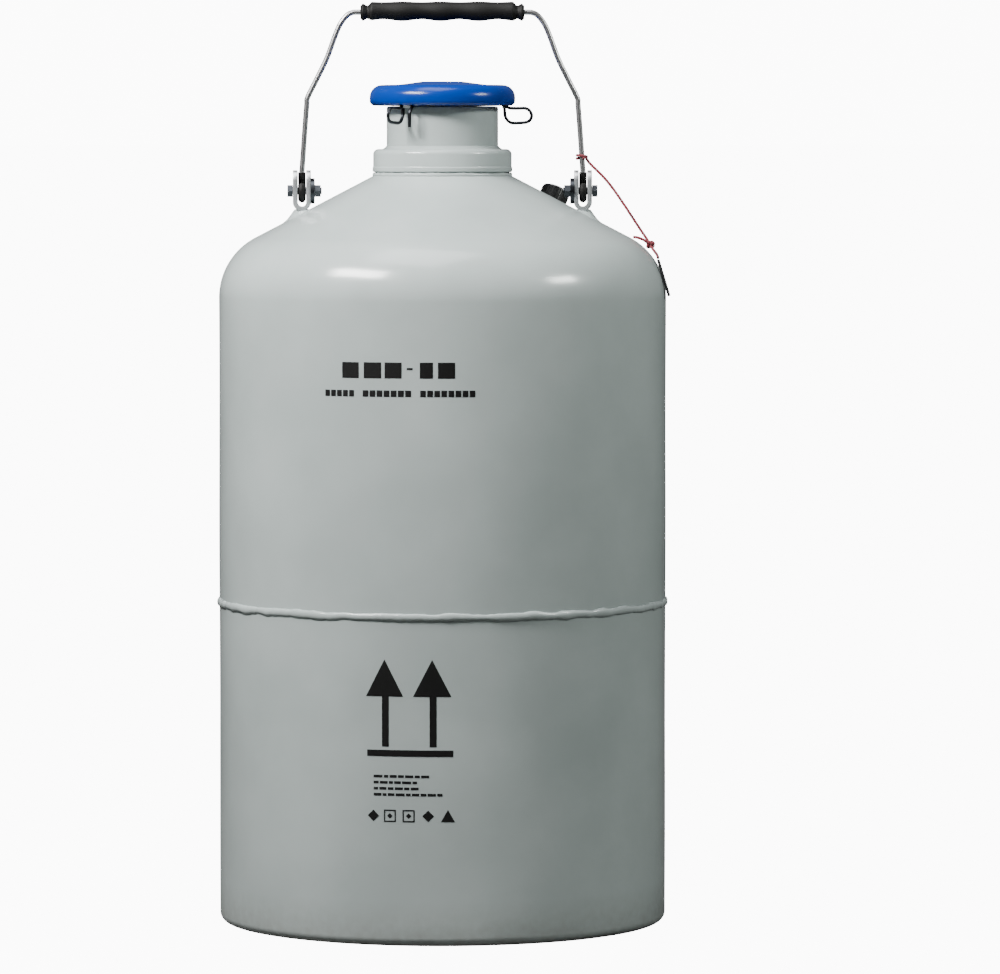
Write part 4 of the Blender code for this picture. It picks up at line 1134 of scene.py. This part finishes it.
def plain_rect(s, z, wide, high, tilt=0.0):
    """Corners of a rectangle about its middle; s is the way around the casing, right of the front."""
    across, up = Vector((math.cos(tilt), math.sin(tilt))), Vector((-math.sin(tilt), math.cos(tilt)))
    return [Vector((s, z)) + across * wide * x + up * high * y
            for x, y in ((-0.5, -0.5), (0.5, -0.5), (0.5, 0.5), (-0.5, 0.5))]


def printed_shapes():
    """The print, with plain bars where the real one has words: two upright arrows over a bar, four
    lines of small print, five handling marks, and a title of five blocks over three bars."""
    shapes = []
    for s in (-38.6, -6.9):
        shapes.append([(s - 12.6, 164.9), (s + 12.6, 164.9), (s, 189.2)])
        shapes.append(plain_rect(s + 0.6, 148.4, 4.6, 33.0))
    shapes.append(plain_rect(-21.8, 127.6, 57.4, 4.2))
    for z, ends in ((112.4, (-46, -7)), (108.4, (-46, -15.4)), (104.4, (-46, -14.6)),
            (100.4, (-46, 4.6))):
        start = ends[0]
        for number in range(9):
            wide = (3.4, 5.2, 2.6, 4.4, 6.0, 3.0, 4.8, 3.8, 5.4)[(number + int(z)) % 9]
            if start + wide > ends[1]:
                break
            shapes.append(plain_rect(start + wide / 2, z, wide, 1.7))
            start += wide + 0.9
    for s, kind in ((-46.2, "diamond"), (-35.0, "frame"), (-22.5, "frame"), (-9.6, "diamond"),
            (3.4, "triangle")):
        if kind == "diamond":
            shapes.append(plain_rect(s, 86.4, 5.4, 5.4, math.pi / 4))
        elif kind == "frame":
            shapes += [plain_rect(s, 90.0, 8.0, 0.9), plain_rect(s, 82.8, 8.0, 0.9),
                plain_rect(s - 3.6, 86.4, 0.9, 6.3), plain_rect(s + 3.6, 86.4, 0.9, 6.3),
                plain_rect(s, 86.4, 2.6, 2.6, math.pi / 4)]
        else:
            shapes.append([(s - 4.6, 82.6), (s + 4.6, 82.6), (s, 90.6)])
    for s, wide in ((-62.0, 11.8), (-46.6, 12.0), (-32.6, 11.4), (-10.6, 8.6), (2.6, 11.2)):
        shapes.append(plain_rect(s, 378.6, wide, 10.4))
    shapes.append(plain_rect(-21.6, 379.6, 4.0, 1.4))
    for s, wide in ((-70.0, 22.0), (-37.0, 33.6), (3.4, 37.0)):
        count = round(wide / 4.6)
        for number in range(count):
            shapes.append(plain_rect(s - wide / 2 + wide * (number + 0.5) / count, 363.4,
                wide / count - 0.9, 4.2))
    return shapes


def make_print():
    """Every shape as a film of ink a tenth of a millimetre thick, bent round the casing."""
    bm = bmesh.new()
    for corners in printed_shapes():
        face = bm.faces.new([bm.verts.new((s, z, 0.0)) for s, z in corners])
        grown_face = bmesh.ops.extrude_face_region(bm, geom=[face])
        top = [item for item in grown_face["geom"] if isinstance(item, bmesh.types.BMVert)]
        bmesh.ops.translate(bm, vec=(0, 0, 0.12), verts=top)
    for step in range(-44, 24):
        geom = bm.verts[:] + bm.edges[:] + bm.faces[:]
        bmesh.ops.bisect_plane(bm, geom=geom, plane_co=(step * 2.0 + 0.013, 0, 0), plane_no=(1, 0, 0))
    for vert in bm.verts:
        s, z, t = vert.co
        angle = s / BODY_R - math.pi / 2
        skin = hand_spun(Vector((BODY_R * math.cos(angle), BODY_R * math.sin(angle), z)))
        out = Vector((math.cos(angle), math.sin(angle), 0))
        vert.co = skin + out * (0.02 + t)
    place_piece(mesh_piece("printed_marks", bm, 30), "root", INK, "body_paint")


make_print()


# ---- CAD nodes that stay ----

canisters = {"canister_%d" % number: SHEET for number in range(1, 7)}
for node, coat in {"neck_tube": GLASS_RESIN, "inner_vessel_top": SPUN, "inner_vessel_bottom": SPUN,
        "insulation_blanket": FOIL, "adsorbent_pack": SIEVE, "vacuum_port_plug": ZINC,
        "canister_rack": SPUN, **canisters}.items():
    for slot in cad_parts[node].material_slots:
        slot.material = coat
